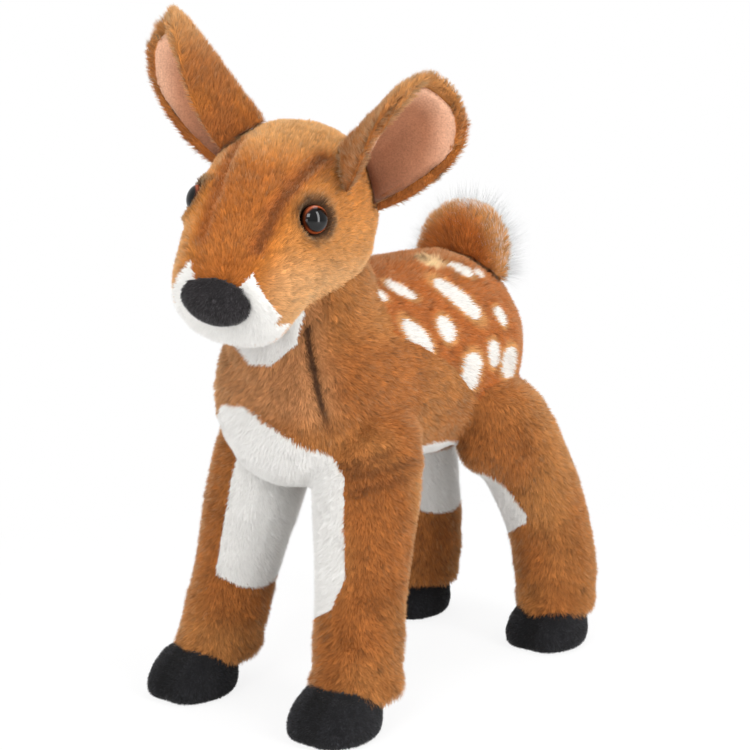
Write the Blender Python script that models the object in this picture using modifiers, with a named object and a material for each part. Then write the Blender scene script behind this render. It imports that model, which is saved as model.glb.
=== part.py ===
"""Standing plush fawn: stuffed torso, neck, head, four legs and tail, with the panels,
ears, eyes, nose and hooves that are sewn or fastened to them.

The fawn faces -Y, its left side is +X and it stands on z = 0. Each stuffed form is a
coarse cage smoothed by subdivision. A smaller form is cut by the larger one that it is
sewn to, and a sewn panel is the outer layer of the form that carries it.
"""

import math

import bmesh
import bpy
from mathutils import Matrix, Vector

# Clearances and layers
SEAM_GAP = 0.0003
FABRIC_LAYER = 0.0040
SOLE_CUT = 0.0005
OVERRUN = 0.0200

# Stance: places of the hooves' middles on the ground
STANCE_LENGTH = 0.197
FRONT_STANCE_WIDTH = 0.104
REAR_STANCE_WIDTH = 0.104
FRONT_HOOVES_AHEAD = 0.101

# Torso
TORSO_LENGTH = 0.216
TORSO_WIDTH = 0.104
TORSO_DEPTH = 0.120
TORSO_MIDDLE_HEIGHT = 0.179

# Neck, from its root inside the torso to its top inside the head
NECK_WIDTH = 0.079
NECK_DEPTH = 0.092
NECK_RISE = 0.096
NECK_LEAN_AHEAD = 0.014

# Head, about the middle of the skull, which is placed from the neck's top
HEAD_RISE = 0.014
HEAD_LEAN_AHEAD = 0.002
HEAD_WIDTH = 0.0955
HEAD_DEPTH = 0.100
SKULL_BACK = 0.042
SNOUT_REACH = 0.074
SNOUT_DROP = 0.052
HEAD_TURN = math.radians(18.5)
HEAD_TILT = math.radians(8)

# Muzzle panel and nose
MUZZLE_WIDTH = 0.078
MUZZLE_HEIGHT = 0.060
MUZZLE_BAND = 0.017
NOSE_WIDTH = 0.040
NOSE_HEIGHT = 0.031
NOSE_THICKNESS = 0.022
NOSE_AHEAD = 0.0015

# Eyes and the washers behind the skin
EYE_DIAMETER = 0.0150
EYE_BULGE = 0.0058
EYE_SHANK_DIAMETER = 0.0040
EYE_SHANK_LENGTH = 0.0110
EYE_OUTWARD = math.radians(50)
EYE_UPWARD = math.radians(8)
EYE_AHEAD = 0.020
EYE_DROP = 0.004
EYE_SEAT_DEPTH = 0.0026
WASHER_DIAMETER = 0.0180
WASHER_THICKNESS = 0.0016
SKIN_TO_WASHER = 0.0040

# Ears
EAR_LENGTH = 0.068
EAR_WIDTH = 0.085
EAR_SUNK = 0.014
EAR_THICKNESS = 0.0040
EAR_RIM_THICKNESS = 0.0024
EAR_LINING_THICKNESS = 0.0015
EAR_ROOTS_OUT = {"left": 0.026, "right": 0.026}
EAR_ROOT_AHEAD = 0.000
EAR_ROOT_RISES = {"left": 0.034, "right": 0.045}
EAR_SPLAYS = {"left": math.radians(47), "right": math.radians(44)}
EAR_LEAN = math.radians(14)
EAR_FACINGS = {"left": math.radians(55), "right": math.radians(42)}
# How far each flap of an ear turns up from its middle line, at the root and at the tip
EAR_ROOT_TURNS = {"front": math.radians(112), "back": math.radians(70)}
EAR_TIP_TURNS = {"front": math.radians(42), "back": math.radians(28)}

# Legs
LEG_FRONT_WIDTH = 0.0475
LEG_FRONT_DEPTH = 0.0480
LEG_REAR_WIDTH = 0.047
LEG_REAR_DEPTH = 0.056
LEG_FOOT_HEIGHT = 0.014
SHOULDER_OUT = 0.032
HIP_OUT = 0.034
HOCK_SWELLS_BEHIND = {"left": 0.024, "right": 0.013}
INNER_PANEL_FRONT_HEIGHT = 0.070
INNER_PANEL_REAR_HEIGHT = 0.080
INNER_PANEL_SLOPE = math.radians(28)
# How far past a leg's middle the panel's seam runs on its front, outwards
INNER_PANEL_SEAMS_OUT = {"left": 0.008, "right": -0.005}
# How far inwards the seam has run at the top of a rear leg
INNER_PANEL_REAR_LEAN = 0.022

# Hooves
HOOF_WIDTH = 0.048
HOOF_LENGTH = 0.058
HOOF_HEIGHT = 0.029
FRONT_TOE_AHEAD = 0.0155
REAR_TOE_AHEAD = 0.007

# Tail
TAIL_WIDTH = 0.064
TAIL_THICKNESS = 0.026
TAIL_HEIGHT = 0.069
TAIL_LEAN = math.radians(-8)

# Sewn patches, on the torso and the neck
SADDLE_LENGTH = 0.154
SADDLE_FALL = 0.056
CHEST_PATCH_WIDTH = 0.092
CHEST_PATCH_HEIGHT = 0.070
CHEST_PATCH_DEPTH = 0.070
BELLY_LENGTH = 0.092
THROAT_PATCH_WIDTH = 0.044
THROAT_PATCH_HEIGHT = 0.029
THROAT_PATCH_RISE = 0.031
THROAT_PATCH_LEFT = 0.006

# Colour (linear), roughness and metallic of each material
BROWN_PLUSH = ((0.42, 0.16, 0.055, 1.0), 0.95, 0.0)
GOLDEN_PLUSH = ((0.50, 0.21, 0.075, 1.0), 0.95, 0.0)
SADDLE_PLUSH = ((0.46, 0.13, 0.030, 1.0), 0.95, 0.0)
WHITE_PLUSH = ((0.84, 0.83, 0.80, 1.0), 0.95, 0.0)
BLACK_PLUSH = ((0.017, 0.017, 0.019, 1.0), 0.90, 0.0)
LINING_SUEDE = ((0.50, 0.24, 0.15, 1.0), 0.80, 0.0)
EYE_PLASTIC = ((0.020, 0.012, 0.008, 1.0), 0.08, 0.0)
WASHER_PLASTIC = ((0.70, 0.70, 0.68, 1.0), 0.40, 0.0)

# Where the other pieces meet the torso: share of its length behind its middle, and
# share of its depth above its middle
TORSO_PLACE_SHARES = {
    "neck_root": (-0.270, -0.160),
    "shoulder": (-0.222, -0.090),
    "hip": (0.236, -0.060),
    "tail_root": (0.328, 0.145),
    "saddle_front": (-0.185, 0.125),
    "belly_front": (-0.140, -0.375),
    "chest_front": (-0.500, -0.630),
}

# Stations of a form: place along it, middle, half width, half depth and egg, which
# widens the lower side of a ring. Lengths are shares of the form's own sizes.
TORSO_STATION_SHARES = (
    (1.00, 0.02, 0.14, 0.14, 0.00),
    (0.96, 0.02, 0.58, 0.60, 0.00),
    (0.84, 0.03, 0.92, 0.91, 0.00),
    (0.66, 0.02, 0.98, 1.02, 0.02),
    (0.44, 0.01, 0.90, 0.96, 0.04),
    (0.24, 0.00, 0.95, 1.00, 0.04),
    (0.10, -0.05, 0.91, 0.90, 0.00),
    (0.02, -0.09, 0.64, 0.58, 0.00),
    (0.00, -0.10, 0.18, 0.18, 0.00),
)
NECK_STATION_SHARES = (
    (0.00, 0.80, 0.90),
    (0.30, 1.00, 1.04),
    (0.65, 0.98, 0.98),
    (0.88, 0.86, 0.84),
    (1.00, 0.60, 0.60),
)
# Reach towards the nose (negative is towards the back of the skull), drop, half width,
# half depth, egg, and tilt of the ring as a share of the snout's own slope
HEAD_STATION_SHARES = (
    (-1.00, 0.02, 0.24, 0.26, 0.00, 0.0),
    (-0.82, 0.02, 0.66, 0.70, 0.02, 0.0),
    (-0.34, 0.04, 0.97, 0.98, 0.04, 0.0),
    (0.08, 0.04, 0.99, 0.99, 0.06, 0.1),
    (0.42, 0.20, 0.89, 0.86, 0.04, 0.6),
    (0.66, 0.46, 0.75, 0.69, 0.00, 1.0),
    (0.83, 0.74, 0.71, 0.60, 0.04, 1.0),
    (0.96, 0.93, 0.64, 0.51, 0.04, 1.0),
    (1.01, 1.01, 0.34, 0.28, 0.00, 1.0),
)
# Power of the head's section: under 1 it is boxier than an ellipse
HEAD_SECTION_SHARE = 0.86
# Place down the leg, half width, half depth
FRONT_LEG_STATION_SHARES = (
    (0.00, 1.06, 1.20),
    (0.20, 1.26, 1.40),
    (0.46, 1.14, 1.20),
    (0.70, 0.96, 0.98),
    (0.95, 1.13, 1.12),
    (1.00, 0.64, 0.64),
)
REAR_LEG_STATION_SHARES = (
    (0.00, 1.00, 1.10),
    (0.22, 1.20, 1.32),
    (0.46, 1.10, 1.16),
    (0.70, 1.00, 1.00),
    (0.94, 1.10, 1.00),
    (1.00, 0.58, 0.52),
)
# Height, half width, half length, and lean towards the toes
HOOF_STATION_SHARES = (
    (1.00, 0.70, 0.56, -0.14),
    (0.56, 0.98, 0.92, -0.04),
    (0.08, 1.00, 1.02, 0.00),
    (0.00, 0.66, 0.70, 0.00),
)
# Radius of the hoof's corners from the front round to the heel: the cleft, the toe's
# crown, its shoulder, the side, the quarter, the heel's edge and the heel
HOOF_PLAN_SHARES = (0.80, 1.06, 1.06, 1.00, 0.96, 0.90, 0.88)
TAIL_STATION_SHARES = (
    (0.00, 0.60, 0.60),
    (0.30, 0.92, 0.96),
    (0.62, 1.04, 1.02),
    (0.90, 0.76, 0.68),
    (1.00, 0.24, 0.22),
)
# Place along an ear and width of its flat sheet there
EAR_ROW_SHARES = (
    (0.00, 0.82),
    (0.17, 0.92),
    (0.34, 0.99),
    (0.50, 1.00),
    (0.65, 0.98),
    (0.79, 0.90),
    (0.91, 0.70),
    (1.00, 0.34),
)
# Places of an ear's lengthwise lines across one flap, from the middle line to the rim,
# and the share of the flap's turn that each strip between them has taken
EAR_LINE_SHARES = (0.00, 0.26, 0.56, 0.87, 1.00)
EAR_BEND_SHARES = (0.30, 0.80, 1.00, 1.00)

# Outlines of the sewn panels, in shares of the panel's own sizes
SADDLE_OUTLINE_SHARES = (
    (0.00, 1.10),
    (0.00, 0.16),
    (0.14, 0.00),
    (0.30, -0.26),
    (0.50, -0.74),
    (0.66, -0.98),
    (0.86, -1.00),
    (1.20, -0.90),
    (1.20, 1.10),
)
CHEST_OUTLINE_SHARES = (
    (-0.50, 0.66),
    (-0.28, 0.90),
    (-0.06, 0.92),
    (0.20, 0.74),
    (0.42, 0.56),
    (0.50, 0.36),
    (0.44, 0.00),
    (-0.44, 0.00),
)
MUZZLE_OUTLINE_SHARES = (
    (-0.41, 0.08),
    (-0.22, 0.46),
    (-0.13, 0.26),
    (0.13, 0.26),
    (0.22, 0.46),
    (0.41, 0.08),
    (0.44, -0.70),
    (-0.44, -0.70),
)
THROAT_OUTLINE_SHARES = (
    (-0.50, 1.00),
    (-0.40, 0.34),
    (-0.12, 0.00),
    (0.16, 0.02),
    (0.44, 0.40),
    (0.50, 1.00),
)

PART_COLLECTION = "plush_fawn"
CUTTER_COLLECTION = "cutters"
SIDES = (("left", 1), ("right", -1))


def clear_scene():
    """Remove whatever the scene holds, so that the script can run again."""
    for old in list(bpy.data.objects):
        bpy.data.objects.remove(old, do_unlink=True)
    for name in (PART_COLLECTION, CUTTER_COLLECTION):
        if name in bpy.data.collections:
            bpy.data.collections.remove(bpy.data.collections[name])


def make_collection(name):
    """A collection linked to the scene."""
    collection = bpy.data.collections.new(name)
    bpy.context.scene.collection.children.link(collection)
    return collection


def make_material(name, look):
    """A Principled material of one colour, roughness and metallic value."""
    colour, roughness, metallic = look
    made = bpy.data.materials.new(name)
    made.use_nodes = True
    shader = made.node_tree.nodes["Principled BSDF"]
    shader.inputs["Base Color"].default_value = colour
    shader.inputs["Roughness"].default_value = roughness
    shader.inputs["Metallic"].default_value = metallic
    made.diffuse_color = colour
    return made


def add_object(name, mesh, parent, collection):
    """An object that holds a mesh, under the empty that carries it."""
    made = bpy.data.objects.new(name, mesh)
    made.parent = parent
    bpy.data.collections[collection].objects.link(made)
    if collection == CUTTER_COLLECTION:
        made.hide_render = True
        made.display_type = "WIRE"
    return made


def add_empty(name, parent, matrix):
    """An empty that places what hangs under it."""
    made = bpy.data.objects.new(name, None)
    bpy.context.scene.collection.objects.link(made)
    made.parent = parent
    made.matrix_local = matrix
    return made


def finish_mesh(name, bm):
    """Turn a bmesh into a mesh whose faces point out."""
    bmesh.ops.recalc_face_normals(bm, faces=bm.faces)
    mesh = bpy.data.meshes.new(name)
    bm.to_mesh(mesh)
    bm.free()
    for polygon in mesh.polygons:
        polygon.use_smooth = True
    return mesh


def ring_corners(centre, side, lift, half_width, half_depth, egg=0.0, power=1.0, count=10):
    """Corners of one cage ring. They stand outside the true outline by as much as
    subdivision will draw them in, so that the half sizes are the finished ones."""
    swell = 3 / (2 + math.cos(math.tau / count))
    corners = []
    for k in range(count):
        angle = math.tau * k / count
        across = math.copysign(abs(math.cos(angle)) ** power, math.cos(angle))
        up = math.copysign(abs(math.sin(angle)) ** power, math.sin(angle))
        across *= half_width * swell * (1 - egg * math.sin(angle))
        corners.append(centre + across * side + up * half_depth * swell * lift)
    return corners


def loft(name, rings):
    """A closed cage through rings of corners, with a face over each end."""
    bm = bmesh.new()
    loops = [[bm.verts.new(corner) for corner in ring] for ring in rings]
    count = len(loops[0])
    for lower, upper in zip(loops, loops[1:]):
        for k in range(count):
            following = (k + 1) % count
            bm.faces.new((lower[k], lower[following], upper[following], upper[k]))
    bm.faces.new(loops[0])
    bm.faces.new(loops[-1])
    return finish_mesh(name, bm)


def smooth_form(piece, levels=1):
    """Subdivide a cage into its soft form."""
    smoothing = piece.modifiers.new("Soft form", "SUBSURF")
    smoothing.levels = levels
    smoothing.render_levels = levels
    return piece


def swell_form(piece, distance):
    """Move a form's skin out, or in where the distance is negative."""
    swelling = piece.modifiers.new("Clearance", "DISPLACE")
    swelling.direction = "NORMAL"
    swelling.mid_level = 0
    swelling.strength = distance
    return piece


def soft_cutter(name, mesh, parent, distance):
    """A copy of a form's cage as a cutter whose skin is moved by a distance."""
    made = smooth_form(add_object(name, mesh, parent, CUTTER_COLLECTION))
    if distance:
        swell_form(made, distance)
    return made


def cut(piece, cutter, operation="DIFFERENCE"):
    """Cut a piece by another, or keep what both share."""
    boolean = piece.modifiers.new(cutter.name, "BOOLEAN")
    boolean.operation = operation
    boolean.solver = "EXACT"
    boolean.object = cutter
    return piece


def grow_outline(points, distance):
    """Move each side of an outline that runs round one way out by a distance."""
    doubled_area = 0
    for (x0, y0), (x1, y1) in zip(points, points[1:] + points[:1]):
        doubled_area += x0 * y1 - x1 * y0
    outward = math.copysign(distance, doubled_area)
    grown = []
    for k, point in enumerate(points):
        before = (Vector(point) - Vector(points[k - 1])).normalized()
        after = (Vector(points[(k + 1) % len(points)]) - Vector(point)).normalized()
        mitre = Vector((before.y + after.y, -before.x - after.x))
        mitre /= mitre.dot(Vector((after.y, -after.x)))
        grown.append(tuple(Vector(point) + outward * mitre))
    return grown


def prism(name, points, place, depth_start, depth_end, parent):
    """A cutter: an outline run between two depths. The function place turns two
    outline values and a depth into a point."""
    bm = bmesh.new()
    near = [bm.verts.new(place(u, v, depth_start)) for u, v in points]
    far = [bm.verts.new(place(u, v, depth_end)) for u, v in points]
    bm.faces.new(near)
    bm.faces.new(far)
    for k in range(len(points)):
        following = (k + 1) % len(points)
        bm.faces.new((near[k], near[following], far[following], far[k]))
    mesh = finish_mesh(name, bm)
    return add_object(name, mesh, parent, CUTTER_COLLECTION)


def side_view(u, v, depth):
    """An outline drawn in side view and run across the fawn."""
    return Vector((depth, u, v))


def front_view(u, v, depth):
    """An outline drawn in front view and run along the fawn."""
    return Vector((u, depth, v))


def scaled(shares, width, height, right=0.0, up=0.0):
    """An outline of shares at its real size and place."""
    return [(right + u * width, up + v * height) for u, v in shares]


def turned(name, profile, steps, parent, collection, matrix, closed=False):
    """A solid turned round its own Z axis from a profile of radii and heights, which
    is closed where it doesn't begin and end on the axis."""
    bm = bmesh.new()
    corners = [bm.verts.new((radius, 0, height)) for radius, height in profile]
    if closed:
        corners.append(corners[0])
    for upper, lower in zip(corners, corners[1:]):
        bm.edges.new((upper, lower))
    mesh = bpy.data.meshes.new(name)
    bm.to_mesh(mesh)
    bm.free()
    made = add_object(name, mesh, parent, collection)
    made.matrix_local = matrix
    screw = made.modifiers.new("Turn", "SCREW")
    screw.steps = steps
    screw.render_steps = steps
    screw.use_merge_vertices = True
    screw.merge_threshold = SEAM_GAP / 10
    return made


def panel_on(name, form, regions, parent, look):
    """A sewn panel: the outer layer of a form, inside a region of it."""
    region, _ = regions
    panel = smooth_form(add_object(name, form, parent, PART_COLLECTION))
    panel.data = form.copy()
    cut(panel, region, "INTERSECT")
    cut(panel, soft_cutter(name + "_backing", form, parent, -FABRIC_LAYER))
    panel.data.materials.append(look)
    return panel


def make_room(carrier, name, form, regions, parent):
    """Cut the room of a panel out of the form that carries it."""
    _, room = regions
    cut(room, soft_cutter(name + "_bed", form, parent, -FABRIC_LAYER - SEAM_GAP))
    cut(carrier, room)


def region_pair(name, outline, place, start, end, parent):
    """The region of a panel, and the same region grown by the seam's gap."""
    region = prism(name + "_region", outline, place, start, end, parent)
    grown = grow_outline(outline, SEAM_GAP)
    room = prism(name + "_room", grown, place, start - SEAM_GAP, end + SEAM_GAP, parent)
    return region, room


def new_piece(name, mesh, parent, look):
    """A stuffed piece of the fawn, smoothed from its cage."""
    piece = smooth_form(add_object(name, mesh.copy(), parent, PART_COLLECTION))
    piece.data.materials.append(look)
    return piece


def torso_point(behind_share, above_share, out=0.0):
    """A point at shares of the torso's length and depth from the torso's middle."""
    return Vector((
        out, behind_share * TORSO_LENGTH, TORSO_MIDDLE_HEIGHT + above_share * TORSO_DEPTH
    ))


def torso_cage():
    """The torso from rump to chest, as rings across the fawn."""
    rings = []
    for along, middle, width, depth, egg in TORSO_STATION_SHARES:
        centre = torso_point(along - 0.5, middle)
        half_width = width * TORSO_WIDTH / 2
        half_depth = depth * TORSO_DEPTH / 2
        rings.append(ring_corners(
            centre, Vector((1, 0, 0)), Vector((0, 0, 1)), half_width, half_depth, egg
        ))
    return loft("torso_cage", rings)


def neck_ends():
    """The neck's root inside the torso and its top inside the head."""
    root = torso_point(*TORSO_PLACE_SHARES["neck_root"])
    return root, root + Vector((0, -NECK_LEAN_AHEAD, NECK_RISE))


def neck_cage():
    """The neck, as rings square to the line from the torso to the head."""
    root, top = neck_ends()
    axis = (top - root).normalized()
    side = Vector((1, 0, 0))
    lift = axis.cross(side)
    rings = []
    for along, width, depth in NECK_STATION_SHARES:
        centre = root.lerp(top, along)
        half_width = width * NECK_WIDTH / 2
        half_depth = depth * NECK_DEPTH / 2
        rings.append(ring_corners(centre, side, lift, half_width, half_depth))
    return loft("neck_cage", rings)


def head_cage():
    """The skull and snout, in the head's own frame."""
    slope = math.atan2(SNOUT_DROP, SNOUT_REACH)
    rings = []
    for reach, drop, width, depth, egg, tilt in HEAD_STATION_SHARES:
        length = SNOUT_REACH if reach > 0 else SKULL_BACK
        centre = Vector((0, -reach * length, -drop * SNOUT_DROP))
        angle = tilt * slope
        lift = Vector((0, -math.sin(angle), math.cos(angle)))
        half_width = width * HEAD_WIDTH / 2
        half_depth = depth * HEAD_DEPTH / 2
        rings.append(ring_corners(
            centre, Vector((1, 0, 0)), lift, half_width, half_depth, egg,
            HEAD_SECTION_SHARE,
        ))
    return loft("head_cage", rings)


def hoof_place(front, sign):
    """The middle of a hoof's sole."""
    width = FRONT_STANCE_WIDTH if front else REAR_STANCE_WIDTH
    behind = 0 if front else STANCE_LENGTH
    return Vector((sign * width / 2, behind - FRONT_HOOVES_AHEAD, 0))


def leg_path(front, sign, share):
    """The middle of a leg at a share of its way from the body down to the hoof."""
    foot = hoof_place(front, 1) + Vector((0, 0, LEG_FOOT_HEIGHT))
    if front:
        top = torso_point(*TORSO_PLACE_SHARES["shoulder"], SHOULDER_OUT)
        foot.y += FRONT_TOE_AHEAD
        swell = 0
    else:
        top = torso_point(*TORSO_PLACE_SHARES["hip"], HIP_OUT)
        foot.y += REAR_TOE_AHEAD
        side = "left" if sign > 0 else "right"
        swell = HOCK_SWELLS_BEHIND[side] * math.sin(math.pi * share ** 1.6)
    middle = top.lerp(foot, share)
    middle.y += swell
    middle.x *= sign
    return middle


def leg_cage(front, sign):
    """A leg, as level rings down its path."""
    shares = FRONT_LEG_STATION_SHARES if front else REAR_LEG_STATION_SHARES
    full_width = LEG_FRONT_WIDTH if front else LEG_REAR_WIDTH
    full_depth = LEG_FRONT_DEPTH if front else LEG_REAR_DEPTH
    rings = []
    for along, width, depth in shares:
        rings.append(ring_corners(
            leg_path(front, sign, along),
            Vector((1, 0, 0)),
            Vector((0, 1, 0)),
            width * full_width / 2,
            depth * full_depth / 2,
            count=8,
        ))
    return loft("leg_cage", rings)


def hoof_cage():
    """A two-toed hoof about the middle of its sole, toes towards -Y."""
    corner_count = 2 * (len(HOOF_PLAN_SHARES) - 1)
    rings = []
    for height, width, length, lean in HOOF_STATION_SHARES:
        ring = []
        for k in range(corner_count):
            angle = math.tau * k / corner_count
            plan = HOOF_PLAN_SHARES[min(k, corner_count - k)]
            ring.append(Vector((
                plan * width * HOOF_WIDTH / 2 * math.sin(angle),
                -plan * length * HOOF_LENGTH / 2 * math.cos(angle) - lean * HOOF_LENGTH,
                height * HOOF_HEIGHT - SOLE_CUT,
            )))
        rings.append(ring)
    return loft("hoof_cage", rings)


def tail_cage():
    """The tail, upright, about the middle of its root."""
    rings = []
    for along, width, depth in TAIL_STATION_SHARES:
        centre = Vector((0, 0, along * TAIL_HEIGHT))
        half_width = width * TAIL_WIDTH / 2
        half_depth = depth * TAIL_THICKNESS / 2
        rings.append(ring_corners(
            centre, Vector((1, 0, 0)), Vector((0, 1, 0)), half_width, half_depth, count=8
        ))
    return loft("tail_cage", rings)


def ear_row(sign, along, width, depth, line_count):
    """One row of points across an ear, from its back to its front rim, at a depth
    under its furry side. In the ear's own frame Z runs to the tip, Y looks out of the
    bend between the flaps, and the front flap lies towards the sign of X. The whole
    thickness tapers to the rim's."""
    rim = min(depth, EAR_RIM_THICKNESS)
    row = {}
    for flap, way in (("back", -sign), ("front", sign)):
        turn = EAR_ROOT_TURNS[flap] * (1 - along) + EAR_TIP_TURNS[flap] * along
        across, out = 0, 0
        headings = [share * turn for share in EAR_BEND_SHARES]
        points = [(0, depth)]
        for k in range(1, line_count):
            step = (EAR_LINE_SHARES[k] - EAR_LINE_SHARES[k - 1]) * width / 2
            across += step * math.cos(headings[k - 1])
            out += step * math.sin(headings[k - 1])
            ahead = headings[min(k, len(headings) - 1)]
            normal = (headings[k - 1] + ahead) / 2
            at_rim = k == len(EAR_LINE_SHARES) - 1 or along == 1
            under = rim if at_rim else depth
            points.append((
                way * (across - under * math.sin(normal)), out + under * math.cos(normal)
            ))
        row[flap] = points
    return row["back"][:0:-1] + row["front"]


def ear_layer(name, sign, rows, line_count, outer_depth, inner_depth):
    """A closed layer of an ear between two depths under its furry side. Its skins are
    triangles that all split one way, so that layers laid on each other don't cross."""
    bm = bmesh.new()
    skins = []
    for depth in (outer_depth, inner_depth):
        skin = []
        for along, width in rows:
            height = along * (EAR_LENGTH + EAR_SUNK) - EAR_SUNK
            points = ear_row(sign, along, width * EAR_WIDTH, depth, line_count)
            skin.append([bm.verts.new((x, y, height)) for x, y in points])
        skins.append(skin)
    count = len(skins[0][0])
    for skin in skins:
        for lower, upper in zip(skin, skin[1:]):
            for k in range(count - 1):
                bm.faces.new((lower[k], lower[k + 1], upper[k + 1]))
                bm.faces.new((lower[k], upper[k + 1], upper[k]))
    furry, bare = skins
    for near, far in zip(zip(furry, furry[1:]), zip(bare, bare[1:])):
        for k in (0, count - 1):
            bm.faces.new((near[0][k], near[1][k], far[1][k], far[0][k]))
    for j in (0, len(rows) - 1):
        for k in range(count - 1):
            bm.faces.new((furry[j][k], furry[j][k + 1], bare[j][k + 1], bare[j][k]))
    return finish_mesh(name, bm)


def ear_frame(side, sign):
    """Root of an ear in the head's frame, with its axes."""
    root = Vector((sign * EAR_ROOTS_OUT[side], -EAR_ROOT_AHEAD, EAR_ROOT_RISES[side]))
    splay = EAR_SPLAYS[side]
    facing = EAR_FACINGS[side]
    tipward = Vector((
        sign * math.sin(splay) * math.cos(EAR_LEAN),
        -math.sin(EAR_LEAN),
        math.cos(splay) * math.cos(EAR_LEAN),
    ))
    outward = Vector((0, -1, 0)).cross(tipward).normalized() * -sign
    ahead = outward.cross(tipward).normalized() * sign
    opening = ahead * math.cos(facing) + outward * math.sin(facing)
    across = opening.cross(tipward)
    axes = Matrix((across, opening, tipward)).transposed()
    return Matrix.Translation(root) @ axes.to_4x4()


def eye_frame(head_form, sign):
    """Seat of an eye: where a line from inside the skull meets the skin."""
    ahead = math.cos(EYE_OUTWARD) * math.cos(EYE_UPWARD)
    outward = Vector((
        sign * math.sin(EYE_OUTWARD) * math.cos(EYE_UPWARD), -ahead, math.sin(EYE_UPWARD)
    ))
    start = Vector((0, -EYE_AHEAD, -EYE_DROP))
    seen = head_form.evaluated_get(bpy.context.evaluated_depsgraph_get())
    # The ray starts outside, because one from inside would meet a face's back
    hit, place, _, _ = seen.ray_cast(start + outward * HEAD_WIDTH, -outward)
    if not hit:
        raise ValueError("the eye's line misses the head")
    turn = outward.to_track_quat("Z", "Y").to_matrix().to_4x4()
    return Matrix.Translation(place - outward * EYE_SEAT_DEPTH) @ turn


def eye_profile(clearance):
    """Half section of an eye on its shank. The clearance grows it into its seat."""
    radius = EYE_DIAMETER / 2
    shank = EYE_SHANK_DIAMETER / 2 + clearance
    steps = 5
    profile = [(0, EYE_BULGE)]
    for k in range(1, steps + 1):
        angle = math.pi / 2 * k / steps
        profile.append((radius * math.sin(angle), EYE_BULGE * math.cos(angle)))
    profile.append((shank, 0))
    profile.append((shank, -EYE_SHANK_LENGTH))
    profile.append((0, -EYE_SHANK_LENGTH))
    return profile


def seat_profile():
    """Half section of what an eye and its washer need: the open seat in front of the
    skin, the bore for the shank and the pocket for the washer."""
    dome = EYE_DIAMETER / 2 + SEAM_GAP
    bore = EYE_SHANK_DIAMETER / 2 + SEAM_GAP
    pocket = WASHER_DIAMETER / 2 + SEAM_GAP
    pocket_top = -SKIN_TO_WASHER + SEAM_GAP
    pocket_bottom = -SKIN_TO_WASHER - WASHER_THICKNESS - SEAM_GAP
    shank_bottom = -EYE_SHANK_LENGTH - SEAM_GAP
    return [
        (0, OVERRUN),
        (dome, OVERRUN),
        (dome, -SEAM_GAP),
        (bore, -SEAM_GAP),
        (bore, pocket_top),
        (pocket, pocket_top),
        (pocket, pocket_bottom),
        (bore, pocket_bottom),
        (bore, shank_bottom),
        (0, shank_bottom),
    ]


def washer_profile():
    """Section of the washer that holds an eye's shank behind the skin."""
    bore = EYE_SHANK_DIAMETER / 2 + SEAM_GAP
    rim = WASHER_DIAMETER / 2
    top = -SKIN_TO_WASHER
    bottom = top - WASHER_THICKNESS
    return [(bore, top), (rim, top), (rim, bottom), (bore, bottom)]


def build_eyes(head, head_form, head_empty, looks):
    """Both eyes with their washers, and their seats in the head."""
    steps = 20
    for side, sign in SIDES:
        frame = eye_frame(head_form, sign)
        eye = turned("eye_" + side, eye_profile(0), steps, head_empty, PART_COLLECTION, frame)
        eye.data.materials.append(looks["eye"])
        washer = turned(
            "eye_washer_" + side, washer_profile(), steps, head_empty, PART_COLLECTION,
            frame, closed=True,
        )
        washer.data.materials.append(looks["washer"])
        seat = turned(
            "eye_seat_" + side, seat_profile(), steps, head_empty, CUTTER_COLLECTION, frame
        )
        cut(head, seat)


def build_ears(head_cutter, head_empty, looks):
    """Both ears: a plush back and a suede-like lining set inside it."""
    line_count = len(EAR_LINE_SHARES)
    lining_depth = EAR_THICKNESS + SEAM_GAP
    for side, sign in SIDES:
        layers = (
            ("ear_back_", EAR_ROW_SHARES, line_count, 0, EAR_THICKNESS, "brown"),
            ("ear_lining_", EAR_ROW_SHARES[:-1], line_count - 1, lining_depth,
             lining_depth + EAR_LINING_THICKNESS, "lining"),
        )
        for name, rows, lines, outer_depth, inner_depth, look in layers:
            mesh = ear_layer(name + side, sign, rows, lines, outer_depth, inner_depth)
            piece = add_object(name + side, mesh, head_empty, PART_COLLECTION)
            piece.matrix_local = ear_frame(side, sign)
            piece.data.materials.append(looks[look])
            cut(piece, head_cutter)


def build_nose(head_cutter, head_empty, look):
    """The nose pad, set on the end of the snout."""
    bm = bmesh.new()
    bmesh.ops.create_uvsphere(bm, u_segments=16, v_segments=10, radius=1)
    size = (NOSE_WIDTH / 2, NOSE_THICKNESS / 2, NOSE_HEIGHT / 2)
    bmesh.ops.scale(bm, vec=size, verts=bm.verts)
    mesh = finish_mesh("nose", bm)
    nose = add_object("nose", mesh, head_empty, PART_COLLECTION)
    slope = math.atan2(SNOUT_DROP, SNOUT_REACH)
    nose.location = (0, -SNOUT_REACH - NOSE_AHEAD, -SNOUT_DROP + NOSE_HEIGHT / 2)
    nose.rotation_euler = (-slope / 2, 0, 0)
    nose.data.materials.append(look)
    cut(nose, head_cutter)
    return nose


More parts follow.
